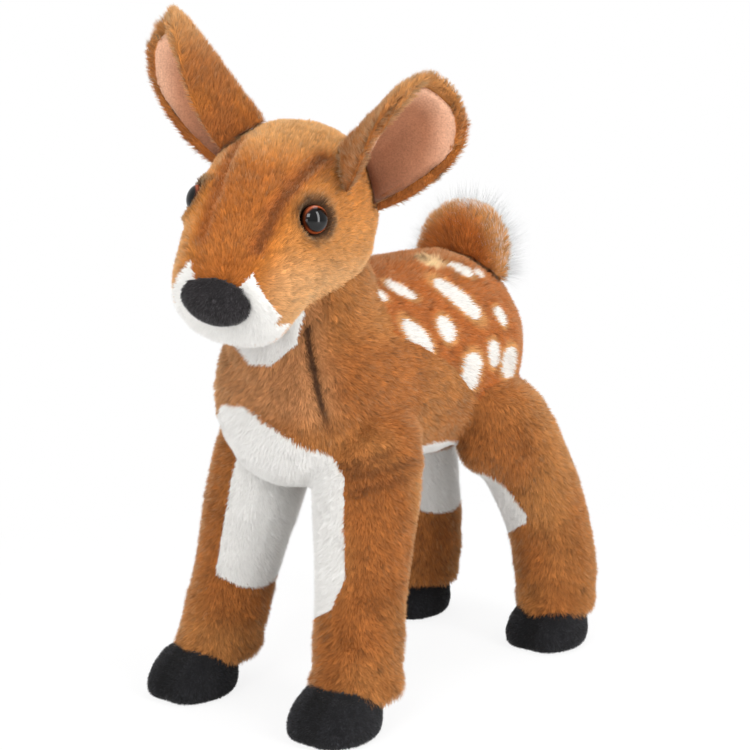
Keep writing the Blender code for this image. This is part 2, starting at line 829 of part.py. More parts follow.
def build_head(root, torso_cutter, looks):
    """The head with its muzzle panel, nose, ears and eyes."""
    turn = Matrix.Rotation(HEAD_TURN, 4, "Z") @ Matrix.Rotation(HEAD_TILT, 4, "Y")
    _, neck_top = neck_ends()
    middle = neck_top + Vector((0, -HEAD_LEAN_AHEAD, HEAD_RISE))
    place = Matrix.Translation(middle) @ turn
    head_empty = add_empty("head_frame", root, place)
    cage = head_cage()
    head_form = soft_cutter("head_form", cage, head_empty, 0)
    head_cutter = soft_cutter("head_clearance", cage, head_empty, SEAM_GAP)
    head = new_piece("head", cage, head_empty, looks["golden"])
    cut(head, torso_cutter)

    outline = scaled(MUZZLE_OUTLINE_SHARES, MUZZLE_WIDTH, MUZZLE_HEIGHT, 0, -SNOUT_DROP)
    front = -SNOUT_REACH - OVERRUN
    back = -SNOUT_REACH + MUZZLE_BAND
    regions = region_pair("muzzle", outline, front_view, front, back, head_empty)
    panel_on("muzzle", cage, regions, head_empty, looks["white"])
    make_room(head, "muzzle", cage, regions, head_empty)

    build_nose(head_cutter, head_empty, looks["black"])
    bpy.context.view_layer.update()
    build_eyes(head, head_form, head_empty, looks)
    build_ears(head_cutter, head_empty, looks)
    return head_cutter


def build_torso(root, looks):
    """The torso with its saddle, chest and belly panels."""
    cage = torso_cage()
    torso = new_piece("torso", cage, root, looks["brown"])
    half_span = TORSO_WIDTH / 2 + OVERRUN

    _, saddle_front, saddle_edge = torso_point(*TORSO_PLACE_SHARES["saddle_front"])
    saddle = scaled(
        SADDLE_OUTLINE_SHARES, SADDLE_LENGTH, SADDLE_FALL, saddle_front, saddle_edge
    )
    _, chest_front, chest_bottom = torso_point(*TORSO_PLACE_SHARES["chest_front"])
    chest = scaled(
        CHEST_OUTLINE_SHARES, CHEST_PATCH_WIDTH, CHEST_PATCH_HEIGHT, 0, chest_bottom
    )
    _, belly_front, belly_top = torso_point(*TORSO_PLACE_SHARES["belly_front"])
    belly_bottom = TORSO_MIDDLE_HEIGHT - TORSO_DEPTH
    belly = [
        (belly_front, belly_top),
        (belly_front, belly_bottom),
        (belly_front + BELLY_LENGTH, belly_bottom),
        (belly_front + BELLY_LENGTH, belly_top),
    ]
    chest_front -= OVERRUN
    panels = (
        ("saddle", saddle, side_view, -half_span, half_span, looks["saddle"]),
        ("chest_patch", chest, front_view, chest_front, chest_front + CHEST_PATCH_DEPTH,
         looks["white"]),
        ("belly_panel", belly, side_view, -half_span, half_span, looks["white"]),
    )
    for name, outline, view, start, end, look in panels:
        regions = region_pair(name, outline, view, start, end, root)
        panel_on(name, cage, regions, root, look)
        make_room(torso, name, cage, regions, root)
    return soft_cutter("torso_clearance", cage, root, SEAM_GAP)


def build_neck(root, torso_cutter, head_cutter, looks):
    """The neck with its throat patch, between the torso and the head."""
    cage = neck_cage()
    neck = new_piece("neck", cage, root, looks["brown"])
    neck_root, neck_top = neck_ends()
    outline = scaled(
        THROAT_OUTLINE_SHARES, THROAT_PATCH_WIDTH, THROAT_PATCH_HEIGHT,
        THROAT_PATCH_LEFT, neck_root.z + THROAT_PATCH_RISE,
    )
    front = neck_top.y - NECK_DEPTH
    regions = region_pair("throat_patch", outline, front_view, front, neck_top.y, root)
    patch = panel_on("throat_patch", cage, regions, root, looks["white"])
    make_room(neck, "throat_patch", cage, regions, root)
    for piece in (neck, patch):
        cut(piece, torso_cutter)
        cut(piece, head_cutter)


def inner_panel_outline(front, side, sign):
    """Outline, in front view, of the white panel on the inner half of a leg."""
    edge = INNER_PANEL_FRONT_HEIGHT if front else INNER_PANEL_REAR_HEIGHT
    foot = leg_path(front, sign, 1.0)
    root = leg_path(front, sign, 0.0)
    top = root.z
    share = (root.z - edge) / (root.z - foot.z)
    seam_out = sign * INNER_PANEL_SEAMS_OUT[side]
    outer_low = leg_path(front, sign, share).x + seam_out
    lean = 0 if front else INNER_PANEL_REAR_LEAN
    outer_top = root.x + seam_out - sign * lean
    full_width = LEG_FRONT_WIDTH if front else LEG_REAR_WIDTH
    inner_low = outer_low - sign * full_width
    inner_top = outer_top - sign * full_width
    fall = full_width * math.tan(INNER_PANEL_SLOPE)
    return [(outer_low, edge), (inner_low, edge - fall), (inner_top, top), (outer_top, top)]


def build_leg(root, name, front, side, sign, torso_cutter, looks):
    """A leg with its inner panel and hoof."""
    cage = leg_cage(front, sign)
    leg = new_piece(f"{name}_leg_{side}", cage, root, looks["brown"])
    outline = inner_panel_outline(front, side, sign)
    start = -FRONT_HOOVES_AHEAD - LEG_FRONT_DEPTH - OVERRUN
    end = STANCE_LENGTH - FRONT_HOOVES_AHEAD + LEG_REAR_DEPTH + OVERRUN
    panel_name = f"{name}_leg_panel_{side}"
    regions = region_pair(panel_name, outline, front_view, start, end, root)
    panel = panel_on(panel_name, cage, regions, root, looks["white"])
    for piece in (leg, panel):
        cut(piece, torso_cutter)
    make_room(leg, panel_name, cage, regions, root)

    leg_cutter = soft_cutter(f"{name}_leg_clearance_{side}", cage, root, SEAM_GAP)
    hoof = new_piece(f"{name}_hoof_{side}", hoof_cage(), root, looks["black"])
    hoof.location = hoof_place(front, sign)
    cut(hoof, leg_cutter)
    return hoof


def ground_cutter(root):
    """A slab under the ground, which cuts each sole flat."""
    bm = bmesh.new()
    bmesh.ops.create_cube(bm, size=1)
    reach = STANCE_LENGTH + TORSO_LENGTH
    bmesh.ops.scale(bm, vec=(reach, reach, OVERRUN), verts=bm.verts)
    slab = add_object("ground", finish_mesh("ground", bm), root, CUTTER_COLLECTION)
    slab.location.z = -OVERRUN / 2
    return slab


def build_tail(root, torso_cutter, looks):
    """The tail: a brown front and a white back, sewn together edge to edge."""
    lean = Matrix.Rotation(TAIL_LEAN, 4, "X")
    place = Matrix.Translation(torso_point(*TORSO_PLACE_SHARES["tail_root"])) @ lean
    tail_empty = add_empty("tail_frame", root, place)
    cage = tail_cage()
    half = TAIL_WIDTH / 2 + OVERRUN
    top = TAIL_HEIGHT + OVERRUN
    outline = [(-half, -OVERRUN), (half, -OVERRUN), (half, top), (-half, top)]
    split = TAIL_THICKNESS / 8
    halves = (
        ("tail_front", -half, split, looks["brown"]),
        ("tail_back", split + SEAM_GAP, half, looks["white"]),
    )
    for name, start, end, look in halves:
        piece = new_piece(name, cage, tail_empty, look)
        region = prism(name + "_region", outline, front_view, start, end, tail_empty)
        cut(piece, region, "INTERSECT")
        cut(piece, torso_cutter)


def stand_on_origin(root):
    """Move the fawn so that the middle of its bounding box is over the origin."""
    bpy.context.view_layer.update()
    depsgraph = bpy.context.evaluated_depsgraph_get()
    xs, ys = [], []
    for piece in bpy.data.collections[PART_COLLECTION].objects:
        seen = piece.evaluated_get(depsgraph)
        for vertex in seen.data.vertices:
            place = seen.matrix_world @ vertex.co
            xs.append(place.x)
            ys.append(place.y)
    root.location.x = -(min(xs) + max(xs)) / 2
    root.location.y = -(min(ys) + max(ys)) / 2
    bpy.context.view_layer.update()


def build_fawn():
    """The whole fawn, on its four soles."""
    clear_scene()
    make_collection(PART_COLLECTION)
    make_collection(CUTTER_COLLECTION)
    looks = {
        "brown": make_material("brown_plush", BROWN_PLUSH),
        "golden": make_material("golden_plush", GOLDEN_PLUSH),
        "saddle": make_material("saddle_plush", SADDLE_PLUSH),
        "white": make_material("white_plush", WHITE_PLUSH),
        "black": make_material("black_plush", BLACK_PLUSH),
        "lining": make_material("lining_suede", LINING_SUEDE),
        "eye": make_material("eye_plastic", EYE_PLASTIC),
        "washer": make_material("washer_plastic", WASHER_PLASTIC),
    }
    root = add_empty("fawn_frame", None, Matrix.Identity(4))
    torso_cutter = build_torso(root, looks)
    head_cutter = build_head(root, torso_cutter, looks)
    build_neck(root, torso_cutter, head_cutter, looks)
    ground = ground_cutter(root)
    for name, front in (("front", True), ("rear", False)):
        for side, sign in SIDES:
            hoof = build_leg(root, name, front, side, sign, torso_cutter, looks)
            cut(hoof, ground)
    build_tail(root, torso_cutter, looks)
    stand_on_origin(root)


build_fawn()
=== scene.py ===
"""Looks of the standing plush fawn: camera, stage and light, soft skins over its forms,
the pile that grows on them, ear linings, eyes, nose and hooves."""

import itertools
import math

import bpy
import numpy as np
from mathutils import Matrix, Vector
from mathutils.bvhtree import BVHTree
from mathutils.kdtree import KDTree


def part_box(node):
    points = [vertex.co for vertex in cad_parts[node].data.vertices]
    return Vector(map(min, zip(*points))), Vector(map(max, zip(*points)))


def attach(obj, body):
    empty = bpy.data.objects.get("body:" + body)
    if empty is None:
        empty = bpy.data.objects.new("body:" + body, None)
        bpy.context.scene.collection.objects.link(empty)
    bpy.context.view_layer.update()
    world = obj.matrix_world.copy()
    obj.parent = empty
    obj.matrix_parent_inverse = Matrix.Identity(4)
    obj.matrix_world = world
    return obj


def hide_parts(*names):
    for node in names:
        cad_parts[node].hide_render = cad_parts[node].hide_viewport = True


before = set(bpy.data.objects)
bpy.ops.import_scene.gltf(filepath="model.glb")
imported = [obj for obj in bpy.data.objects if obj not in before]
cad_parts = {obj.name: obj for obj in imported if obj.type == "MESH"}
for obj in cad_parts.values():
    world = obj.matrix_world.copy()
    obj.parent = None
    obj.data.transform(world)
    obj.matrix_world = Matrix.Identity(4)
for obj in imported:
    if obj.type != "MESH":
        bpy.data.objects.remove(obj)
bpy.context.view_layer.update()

# Camera, which looks at the target from the front left
CAMERA_AZIMUTH = math.radians(39.3)
CAMERA_ELEVATION = math.radians(9.3)
CAMERA_DISTANCE = 0.967
CAMERA_TARGET = Vector((-0.0135, 0.012, 0.1707))
LENS = 81.6
SENSOR = 36.0

# Stage and light
FLOOR_SIZE = 8.0
FLOOR_COLOUR = (0.9, 0.9, 0.9, 1)
FLOOR_GLOW_NEAR = 0.86
FLOOR_GLOW_START = 0.14
FLOOR_GLOW_END = 0.42
WORLD_LEVEL = 0.8
# Each lamp: name, place, width, height and power
LAMPS = (
    ("key_lamp", (0.55, -1.36, 1.08), 0.62, 0.62, 12.6),
    ("fill_lamp", (0.02, -1.3, 0.22), 0.9, 0.36, 3.2),
    ("strip_lamp", (1.25, 0.02, 0.66), 0.3, 1.4, 13.2),
    ("top_lamp", (0.1, 0.6, 1.8), 1.0, 1.0, 8.0),
)

# Head frame, about the middle of the skull
HEAD_MIDDLE = Vector((-0.0085, -0.0623, 0.2698))
HEAD_TURN = math.radians(18.5)
HEAD_TILT = math.radians(8)
NOSE_PLACE = Vector((0.0, -0.084, -0.038))

# Middle of the torso, about which the saddle's spots are laid out
TORSO_MIDDLE = (-0.0085, 0.012, 0.179)

# Skins: width of their first cells, smoothing, and depth under the outer form
SKIN_VOXEL = 0.0022
EAR_VOXEL = 0.0012
LINING_VOXEL = 0.0006
SMALL_VOXEL = 0.0009
# Share of the way to its neighbours' mean that a corner goes in, and then out again
RELAX_WAYS = (0.5, -0.52)
BODY_SMOOTHING = 7
SMALL_SMOOTHING = 3
BODY_SINK = 0.0025
SMALL_SINK = 0.0005
NOSE_SINK = -0.0012
# Cuffs at the leg ends, raised rims round the eyes and the full flank
CUFF_HEIGHT = 0.018
CUFF_PILE_HEIGHT = 0.6 * CUFF_HEIGHT
CUFF_FULL_HEIGHT = 0.1 * CUFF_HEIGHT
CUFF_SPREAD = 0.22
LID_RADIUS = 0.0108
LID_WIDTH = 0.0036
LID_RISE = 0.0032
FLANK_PLACE = (0.027, 0.056, 0.124)
FLANK_REACH = 0.016
FLANK_SHIFT = (-0.003, -0.008, -0.006)
# Where the white muzzle ends at the cheeks, in the head's own frame
MUZZLE_REAR = -0.069
MUZZLE_SIDE = 0.02
MUZZLE_JAW = -0.05
# White leg panels: their tops, above which the brown cloth goes on, and the width, height
# and fullness of each one's lower outer corner
FRONT_PANEL_TOP = 0.1475
FRONT_PANEL_EDGE = 0.024
FRONT_PANEL_FALL = 1.15
REAR_PANEL_TOP = 0.114
PANEL_CORNERS = {
    "front_leg_panel_left": (0.018, 0.042, 1.6), "front_leg_panel_right": (0.006, 0.012, 2.0),
    "rear_leg_panel_left": (0.014, 0.034, 2.0), "rear_leg_panel_right": (0.014, 0.034, 2.0),
}
# Nodes that are one soft body, in the order of their cloths
SIDES = (("left", 1), ("right", -1))
LEG_NODES = ("front_leg_left", "front_leg_right", "rear_leg_left", "rear_leg_right")
FUSED_NODES = (
    "torso", "saddle", "chest_patch", "belly_panel", "neck", "throat_patch", "head", "muzzle",
    *LEG_NODES, *PANEL_CORNERS,
)
FILLER_NODES = ("eye_washer_left", "eye_washer_right")

# Sunken seams and creases. The brow's is in the head's own frame.
SEAM_WIDTH = 0.0028
SEAM_DEPTH = 0.0019
SEAM_FLATTENING = 0.85
CREASE_SHARE = 0.6
BROW_FACING = (0.1, -0.7, 0.72)
NECK_FACING = (0.55, -0.82, 0.1)
BROW_SEAM = (
    (0.024, -0.026, 0.032), (0.0205, -0.045, 0.022), (0.0169, -0.0592, 0.0099),
    (0.0162, -0.068, -0.001), (0.015, -0.0748, -0.0119),
)
NECK_SEAM = (
    (0.0196, -0.0839, 0.2106), (0.0205, -0.083, 0.199), (0.0246, -0.0845, 0.1884),
    (0.029, -0.084, 0.172), (0.0307, -0.08, 0.1584),
)
SHOULDER_CREASES = (
    ((0.0359, -0.0728, 0.139), (0.0454, -0.0657, 0.1413), (0.0507, -0.055, 0.1455)),
    ((0.0396, -0.0731, 0.1343), (0.0516, -0.0594, 0.1368), (0.0554, -0.0433, 0.1389)),
    ((0.0416, -0.0739, 0.1263), (0.0555, -0.0519, 0.1308)),
)
SWIRL_PLACE = (0.008, 0.0348, 0.239)

# Colours as sRGB levels
BROWN = (167, 100, 46)
GOLD = (194, 117, 42)
GOLD_LIGHT = (216, 160, 98)
CREAM = (240, 196, 146)
SADDLE_RUST = (174, 95, 38)
TAIL_RUST = (192, 106, 42)
BROW_RUST = (164, 90, 36)
# Dark seam colour, also used as painted shade along the neck seam and in the shoulder creases
DARK_SEAM_AND_SHADE = (84, 46, 24)
# Soot of the rings round the eyes, also used for a line of painted shade in the neck seam
SOOT_AND_SHADE = (50, 31, 21)
WHITE = (243, 241, 237)
BLACK = (35, 35, 38)
LINING_TAN = (153, 101, 72)
# Cloths of one colour, by a word of their names
PLAIN_CLOTHS = {
    "nose": (50, 47, 49), "tail_back": (238, 238, 238),
    "panel": WHITE, "patch": WHITE, "muzzle": WHITE,
}
# Markings: colour, how strongly it covers the cloth, and the measures at which it starts
# and is full. A measure is a length, a share of a form's reach, or unevenness. Some are
# painted shade and painted light, as said above each.
MARKS = {
    "brown_light": ((198, 140, 80), 0.45, (-0.2, 0.9)),
    "breast": ((194, 137, 90), 0.85, (-0.066, -0.086)),
    # Painted shade along the sunken neck seam, and a darker painted line of shade in it
    "neck_painted_shade": (DARK_SEAM_AND_SHADE, 0.36, (0.0052, 0.0012)),
    "neck_painted_shade_line": (SOOT_AND_SHADE, 0.84, (0.0025, 0.0006)),
    # Painted shade in the shoulder creases
    "crease": (DARK_SEAM_AND_SHADE, 0.46, (0.0052, 0.0004)),
    "temple": (GOLD_LIGHT, 0.2, (0.021, 0.029)),
    # Painted fill light that lightens the lower cheeks, which the lamps leave in shade
    "jaw_painted_fill_light": (CREAM, 0.34, (0.016, 0.03)),
    "bridge": (BROW_RUST, 0.72, (1.3, 0.75)),
    "brow": (BROW_RUST, 0.85, (0.0075, 0.0015)),
    "brow_line": (DARK_SEAM_AND_SHADE, 0.62, (0.0046, 0.0008)),
    "eye_ring": (SOOT_AND_SHADE, 0.92, (0.0158, 0.0088)),
    "saddle_brown": (BROWN, 0.4, (0.0, 1.0)),
    "swirl": (CREAM, 0.98, (0.0125, 0.009)),
    "spot_edge": (GOLD_LIGHT, 0.75, (1.6, 1.05)),
    "ear_gold": (GOLD, 0.5, (-0.4, 0.8)),
    # Painted shade in the fold at the ear's root
    "ear_root_painted_shade": (BROW_RUST, 0.7, (0.55, 0.05)),
    "ear_tip": (GOLD_LIGHT, 0.55, (0.6, 1.0)),
    "tail_root": (DARK_SEAM_AND_SHADE, 0.44, (0.55, 0.1)),
    "tail_rim": (GOLD_LIGHT, 0.7, (0.72, 1.02)),
    "hoof_band": ((20, 20, 22), 0.7, (0.008, 0.005)),
    # Painted shade in the lining's fold at the root, and a painted highlight along its rim
    "lining_fold_painted_shade": ((112, 68, 46), 0.75, (0.42, 0.0)),
    "lining_edge": ((206, 160, 132), 0.8, (0.55, 0.97)),
}
# Zones: the measures at which each starts and is full. The head's are in its own frame.
ZONES = {
    "breast_height": (0.15, 0.172), "neck_line_height": (0.156, 0.172),
    "cheek_width": (0.018, 0.031), "cheek_height": (0.01, -0.012),
    "crown_height": (0.02, 0.04), "light_patch": (0.0, 1.0),
    "temple_height": (0.03, 0.016), "jaw_height": (-0.01, -0.03),
    "bridge_height": (0.036, 0.016), "bridge_depth": (-0.012, -0.032),
    "breast_comb": (-0.02, -0.08), "swirl_comb": (0.012, 0.007),
    "eye_parting": (0.013, 0.008), "pale_cloth": (0.4, 0.75), "sole_height": (0.0005, 0.003),
    "lining_reach": (0.5, 1.0), "lining_height": (0.15, 0.6), "iris_rise": (0.35, 0.9),
}
# Unevenness: width of its lumps, seed and amount
UNEVEN = {
    "brown": (0.03, 3, 1.0), "neck_seam": (0.005, 4, 0.0006), "head": (0.02, 5, 1.0),
    "bridge": (0.008, 6, 0.15), "brow": (0.006, 7, 0.25), "eye_ring": (0.004, 8, 0.0012),
    "saddle": (0.025, 9, 1.0), "swirl": (0.004, 10, 0.0016), "ear": (0.012, 12, 1.0),
    "wide_turn": (0.012, 21, math.radians(24)), "small_turn": (0.0045, 22, math.radians(16)),
    "lift": (0.006, 31, 0.25), "length": (0.008, 33, 0.15), "small_patch": (0.0045, 41, 1.0),
    "large_patch": (0.011, 42, 1.0), "lining": (0.006, 51, 0.07),
}
# How much the cheeks, patches and crown lighten the head, and the share of it all. The
# crown's lightening is painted light, as where light catches the top of the pile.
CHEEK_LIGHT = 0.5
PATCH_LIGHT = 0.35
CROWN_PAINTED_LIGHT = 1.44
HEAD_LIGHT = 0.52
# The rust bridge between the brows: half its width and how it widens upwards
BRIDGE_HALF_WIDTH = 0.0155
BRIDGE_FLARE = 0.26
RIGHT_BROW_SHARE = 0.35
# Spots of the saddle: place behind the frame's middle, degrees round the torso from its
# top towards the left side, length, width and turn of the spot's long axis
SPOTS = (
    (-0.0206, 32, 0.02, 0.0075, 35),
    (-0.04, 33, 0.012, 0.006, 35),
    (0.0388, 26, 0.016, 0.009, 30),
    (0.0518, 30, 0.006, 0.005, 30),
    (0.0208, 44, 0.034, 0.012, 48),
    (0.0018, 62, 0.015, 0.012, 60),
    (-0.023, 65, 0.027, 0.013, 50),
    (0.053, 60, 0.012, 0.008, 60),
    (0.041, 84, 0.015, 0.0115, 90),
    (0.02, 94, 0.021, 0.016, 95),
    (0.059, 94, 0.019, 0.018, 90),
)
SPOT_ROUNDNESS = 2.4

# Pile of each kind of cloth: strands per square mm, length, width, degrees of lift, how far
# its strands draw together, how far it is shaded as one surface, and how much the shade
# of its strands, of its clumps and of larger patches varies
PILES = {
    "body": (2.8, 0.004, 0.00042, 54, 0.34, 0.85, (0.13, 0.13, 0.12)),
    "white": (3.2, 0.0034, 0.00046, 60, 0.14, 0.9, (0.13, 0.1, 0.05)),
    "head": (3.5, 0.0031, 0.00038, 50, 0.32, 0.85, (0.12, 0.13, 0.1)),
    "muzzle": (3.7, 0.0029, 0.00042, 60, 0.12, 0.9, (0.13, 0.08, 0.03)),
    "ear": (3.0, 0.0042, 0.00038, 46, 0.34, 0.85, (0.13, 0.13, 0.09)),
    "tail": (2.8, 0.0054, 0.00038, 42, 0.4, 0.8, (0.13, 0.14, 0.07)),
    "fringe": (1.7, 0.0175, 0.00022, 24, 0.45, 0.1, (0.03, 0.02, 0.02)),
    "velvet": (5.0, 0.0018, 0.00032, 66, 0.3, 0.8, (0.45, 0.16, 0.08)),
}
PER_SQUARE_MM = 1e6
CLUMP_STRANDS = 12
# How strands vary: spreads, or the least share of a measure and what chance adds to it
LIFT_SPREAD = 0.18
TURN_SPREAD = 0.3
LENGTHS = (0.75, 0.4)
WIDTHS = (0.75, 0.5)
PULLS = (0.5, 1.0)
CLUMP_TILT = 0.14
SHADE_LIMITS = (0.002, 0.93)
# Pale cloth has a calmer and more upright pile than dyed cloth
PALE_CALM = 0.85
PALE_LIFT = math.radians(61)
PALE_LIFT_SHARE = 0.7
# Pile at the cuffs, in the seams, beside the eyes and over the ground
CUFF_LOWERING = 0.45
CUFF_LENGTHENING = 0.6
SEAM_SHORTENING = 0.55
PARTING_REACH = 0.016
PARTING_SHORTENING = 0.35
EYE_CLEARANCE = 0.008
LOWEST_TIP = 0.0003
# Ways in which pile is combed, by a word of the node's name, and over the back
COMBED = {
    "nose": (0.0, 0.1, -1.0), "ear_back_left": (0.55, -0.1, 0.8),
    "ear_back_right": (-0.55, -0.1, 0.8), "leg": (0.0, 0.05, -1.0), "hoof": (0.0, 0.05, -1.0),
    "neck": (0.0, 0.25, -1.0), "patch": (0.0, 0.25, -1.0),
}
BACK_COMB_DOWN = -0.8
BREAST_COMB_LOSS = 0.9
SWIRL_CURL = 4
# Faces of a strand, and the places of its corners in its UV cell
SPIKE_FACES = ((1, 2, 3), (2, 0, 3), (0, 1, 3))
SPIKE_CELL = ((0.1, 0.1), (0.9, 0.1), (0.5, 0.1), (0.5, 0.9))
# Normals of a strand: how much they scatter, turn to its own sides, and lean to its tip
NORMAL_SCATTER = 0.22
NORMAL_TURN = 1.22
NORMAL_LEAN = 0.15

# Kind of pile and slot of each node, by a word of its name
FINISHES = {
    "head": ("head", "golden_plush"), "saddle": ("body", "saddle_plush"),
    "muzzle": ("muzzle", "white_plush"), "patch": ("white", "white_plush"),
    "panel": ("white", "white_plush"), "tail_front": ("tail", "brown_plush"),
    "tail_back": ("fringe", "white_plush"), "ear_back": ("ear", "brown_plush"),
    "nose": ("velvet", "black_plush"), "hoof": ("velvet", "black_plush"),
}
# Backing and pile of dyed plush, and of the slots that differ
DYED_CLOTH = ("dyed_backing", "dyed_pile")
OTHER_CLOTHS = {
    "white_plush": ("white_backing", "white_pile"),
    "black_plush": ("dyed_backing", "velvet_pile"),
}
# Plush materials: sheen, its tint, roughness, painted shade of the roots, level of the
# tips, which above 1 is a painted highlight, and grain. Skins have no tips, so the
# roots' painted shade darkens them all over.
WARM = (1.0, 0.72, 0.42)
PLAIN = (1.0, 1.0, 1.0)
PLUSH_GRAIN_SCALE = 420.0
PLUSHES = {
    "dyed_backing": (0.1, WARM, 0.95, 0.72, 1.0, 0.08),
    "white_backing": (0.1, PLAIN, 0.95, 0.96, 1.0, 0.02),
    "dyed_pile": (0.5, WARM, 0.85, 0.7, 1.1, 0.06),
    "white_pile": (0.15, PLAIN, 0.85, 0.97, 1.02, 0.02),
    "velvet_pile": (0.1, PLAIN, 0.8, 0.7, 1.25, 0.2),
}
# Separate soft pieces: voxel, depth under the outer form, and seed
SMALL_PIECES = {
    "tail_front": (EAR_VOXEL, SMALL_SINK, 401),
    "tail_back": (EAR_VOXEL, SMALL_SINK, 402),
    "nose": (SMALL_VOXEL, NOSE_SINK, 403),
    "front_hoof_left": (EAR_VOXEL, 0.0, 411),
    "front_hoof_right": (EAR_VOXEL, 0.0, 409),
    "rear_hoof_left": (EAR_VOXEL, 0.0, 413),
    "rear_hoof_right": (EAR_VOXEL, 0.0, 411),
}
# Seeds of the roots and the pile of the body, of all small pieces' roots, and of the ears
BODY_ROOT_SEED = 99
BODY_PILE_SEED = 100
SMALL_ROOT_SEED = 50
EAR_SEED = 300
EAR_EDGE_SEED = 310
EAR_EDGE_ROOT_SEED = 320

# Ear linings
LINING_ROUNDNESS = 2.3
LINING_SMOOTHING = 16
LINING_EVENING = 70
LINING_SPREAD = 0.0016
LINING_RISE = 0.0002
LINING_MARGIN = 0.001
LINING_BUMP = 0.0004
LINING_GRAIN_SCALE = 1100.0

# Eyes
EYE_RADIUS = 0.0075
EYE_BULGE = 0.0058
EYE_BACK = -0.0003
EYE_BACK_RADIUS = 0.98 * EYE_RADIUS
EYE_SHANK_RADIUS = 0.002
EYE_SHANK_END_RADIUS = 0.3 * EYE_SHANK_RADIUS
EYE_SHANK_LENGTH = 0.011
EYE_RINGS = 28
EYE_CORNERS = 64
EYE_FIRST_SLOPE = 0.06
IRIS_SHADE = 0.22
# Places from the middle of the eye to its rim, and their colours
IRIS_STOPS = (
    (0.0, (5, 4, 5)), (0.74, (7, 5, 5)), (0.79, (62, 26, 14)), (0.88, (158, 74, 38)),
    (0.94, (98, 44, 24)), (0.985, (10, 7, 6)),
)
WASHER_GREYS = ((0.62, 0.62, 0.6, 1), (0.74, 0.74, 0.72, 1))

# Numbers that stir a place into noise
STIR_AXES = (73856093, 19349663, 83492791)
STIR_SEED = 2654435761
STIRS = ((15, 2246822519), (13, 3266489917))
STIR_MOST = 0xFFFFFFFF
STIR_HALF = 0x7FFFFFFF

# Least length to divide by, and what the values of each kind of layer are called
TINY = 1e-9
LAYER_KEYS = {"FLOAT": "value", "FLOAT_COLOR": "color", "FLOAT_VECTOR": "vector"}


def linear(colour):
    """Linear light of a colour given as sRGB levels."""
    share = np.array(colour, float) / 255
    return np.where(share <= 0.04045, share / 12.92, ((share + 0.055) / 1.055) ** 2.4)


def by_word(table, name, otherwise=None):
    """The entry of a table whose word is in a name."""
    return next((entry for word, entry in table.items() if word in name), otherwise)


def finish_of(name):
    """Kind of pile and slot of a node."""
    return by_word(FINISHES, name, ("body", "brown_plush"))


def unit(vectors):
    """Vectors of length one."""
    return vectors / np.maximum(np.linalg.norm(vectors, axis=-1, keepdims=True), TINY)


def smooth_step(low, high, values):
    """A soft step from 0 at low to 1 at high."""
    share = np.clip((values - low) / (high - low), 0, 1)
    return share * share * (3 - 2 * share)


def zone(name, values):
    """How far values lie in a zone, from 0 to 1."""
    return smooth_step(*ZONES[name], values)


def hill(distance, width):
    """A soft hill that is 1 in its middle."""
    return np.exp(-(distance / width) ** 2)


def uneven(points, name):
    """Smooth noise at points, up to its amount to each side of zero."""
    size, seed, amount = UNEVEN[name]
    cells = np.floor(points / size).astype(np.int64)
    parts = points / size - cells
    parts = parts * parts * (3 - 2 * parts)
    total = np.zeros(len(points))
    for corner in itertools.product((0, 1), repeat=3):
        at = (cells + np.array(corner)) * STIR_AXES
        stirred = at[:, 0] ^ at[:, 1] ^ at[:, 2] ^ seed * STIR_SEED
        for shift, factor in STIRS:
            stirred = (stirred ^ (stirred >> shift)) * factor & STIR_MOST
        weight = np.prod(np.where(corner, parts, 1 - parts), axis=1)
        total += weight * (stirred / STIR_HALF - 1)
    return amount * total


def patchy(points, name):
    """A share that varies in patches, at most 1."""
    return 1 - UNEVEN[name][2] + uneven(points, name)


def head_frame():
    """The head's own frame."""
    turn = Matrix.Rotation(HEAD_TURN, 4, "Z") @ Matrix.Rotation(HEAD_TILT, 4, "Y")
    return Matrix.Translation(HEAD_MIDDLE) @ turn


def in_head(points):
    """Points of the fawn's frame in the head's own frame."""
    back = np.array(head_frame().inverted())
    return points @ back[:3, :3].T + back[:3, 3]


def read_values(items, key, width, kind):
    """Values of all items as rows of one array."""
    values = np.empty(len(items) * width, kind)
    items.foreach_get(key, values)
    return values.reshape(-1, width)


def node_arrays(name):
    """Corners and triangles of a CAD node."""
    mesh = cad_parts[name].data
    mesh.calc_loop_triangles()
    points = read_values(mesh.vertices, "co", 3, np.float32)
    return points.astype(float), read_values(mesh.loop_triangles, "vertices", 3, np.int32)


def joined(names):
    """Several CAD nodes as one set of corners, triangles and owners."""
    points, triangles, owners, count = [], [], [], 0
    for k, name in enumerate(names):
        some, faces = node_arrays(name)
        points.append(some)
        triangles.append(faces + count)
        owners.append(np.full(len(faces), k))
        count += len(some)
    return np.concatenate(points), np.concatenate(triangles), np.concatenate(owners)


def eye_seat(side):
    """Middle of an eye's seat and its axis, from the washer behind it."""
    points, _ = node_arrays("eye_washer_" + side)
    dome, _ = node_arrays("eye_" + side)
    middle = points.mean(0)
    _, _, axes = np.linalg.svd(points - middle, full_matrices=False)
    axis = axes[2]
    if (dome.mean(0) - middle) @ axis < 0:
        axis = -axis
    reach = ((dome - middle) @ axis).max()
    return middle + axis * (reach - EYE_BULGE), axis


# Seat and axis of each eye
EYE_PLACES = {side: eye_seat(side) for side, _ in SIDES}


def round_eyes(points):
    """For each eye, how far points are from its seat, its axis, and how far they lie along
    the axis and off it."""
    for centre, axis in EYE_PLACES.values():
        away = points - centre
        along = away @ axis
        yield np.linalg.norm(away, axis=1), axis, along, away - along[:, None] * axis


def placed(name, data):
    """A new object in the scene."""
    made = bpy.data.objects.new(name, data)
    bpy.context.scene.collection.objects.link(made)
    return made


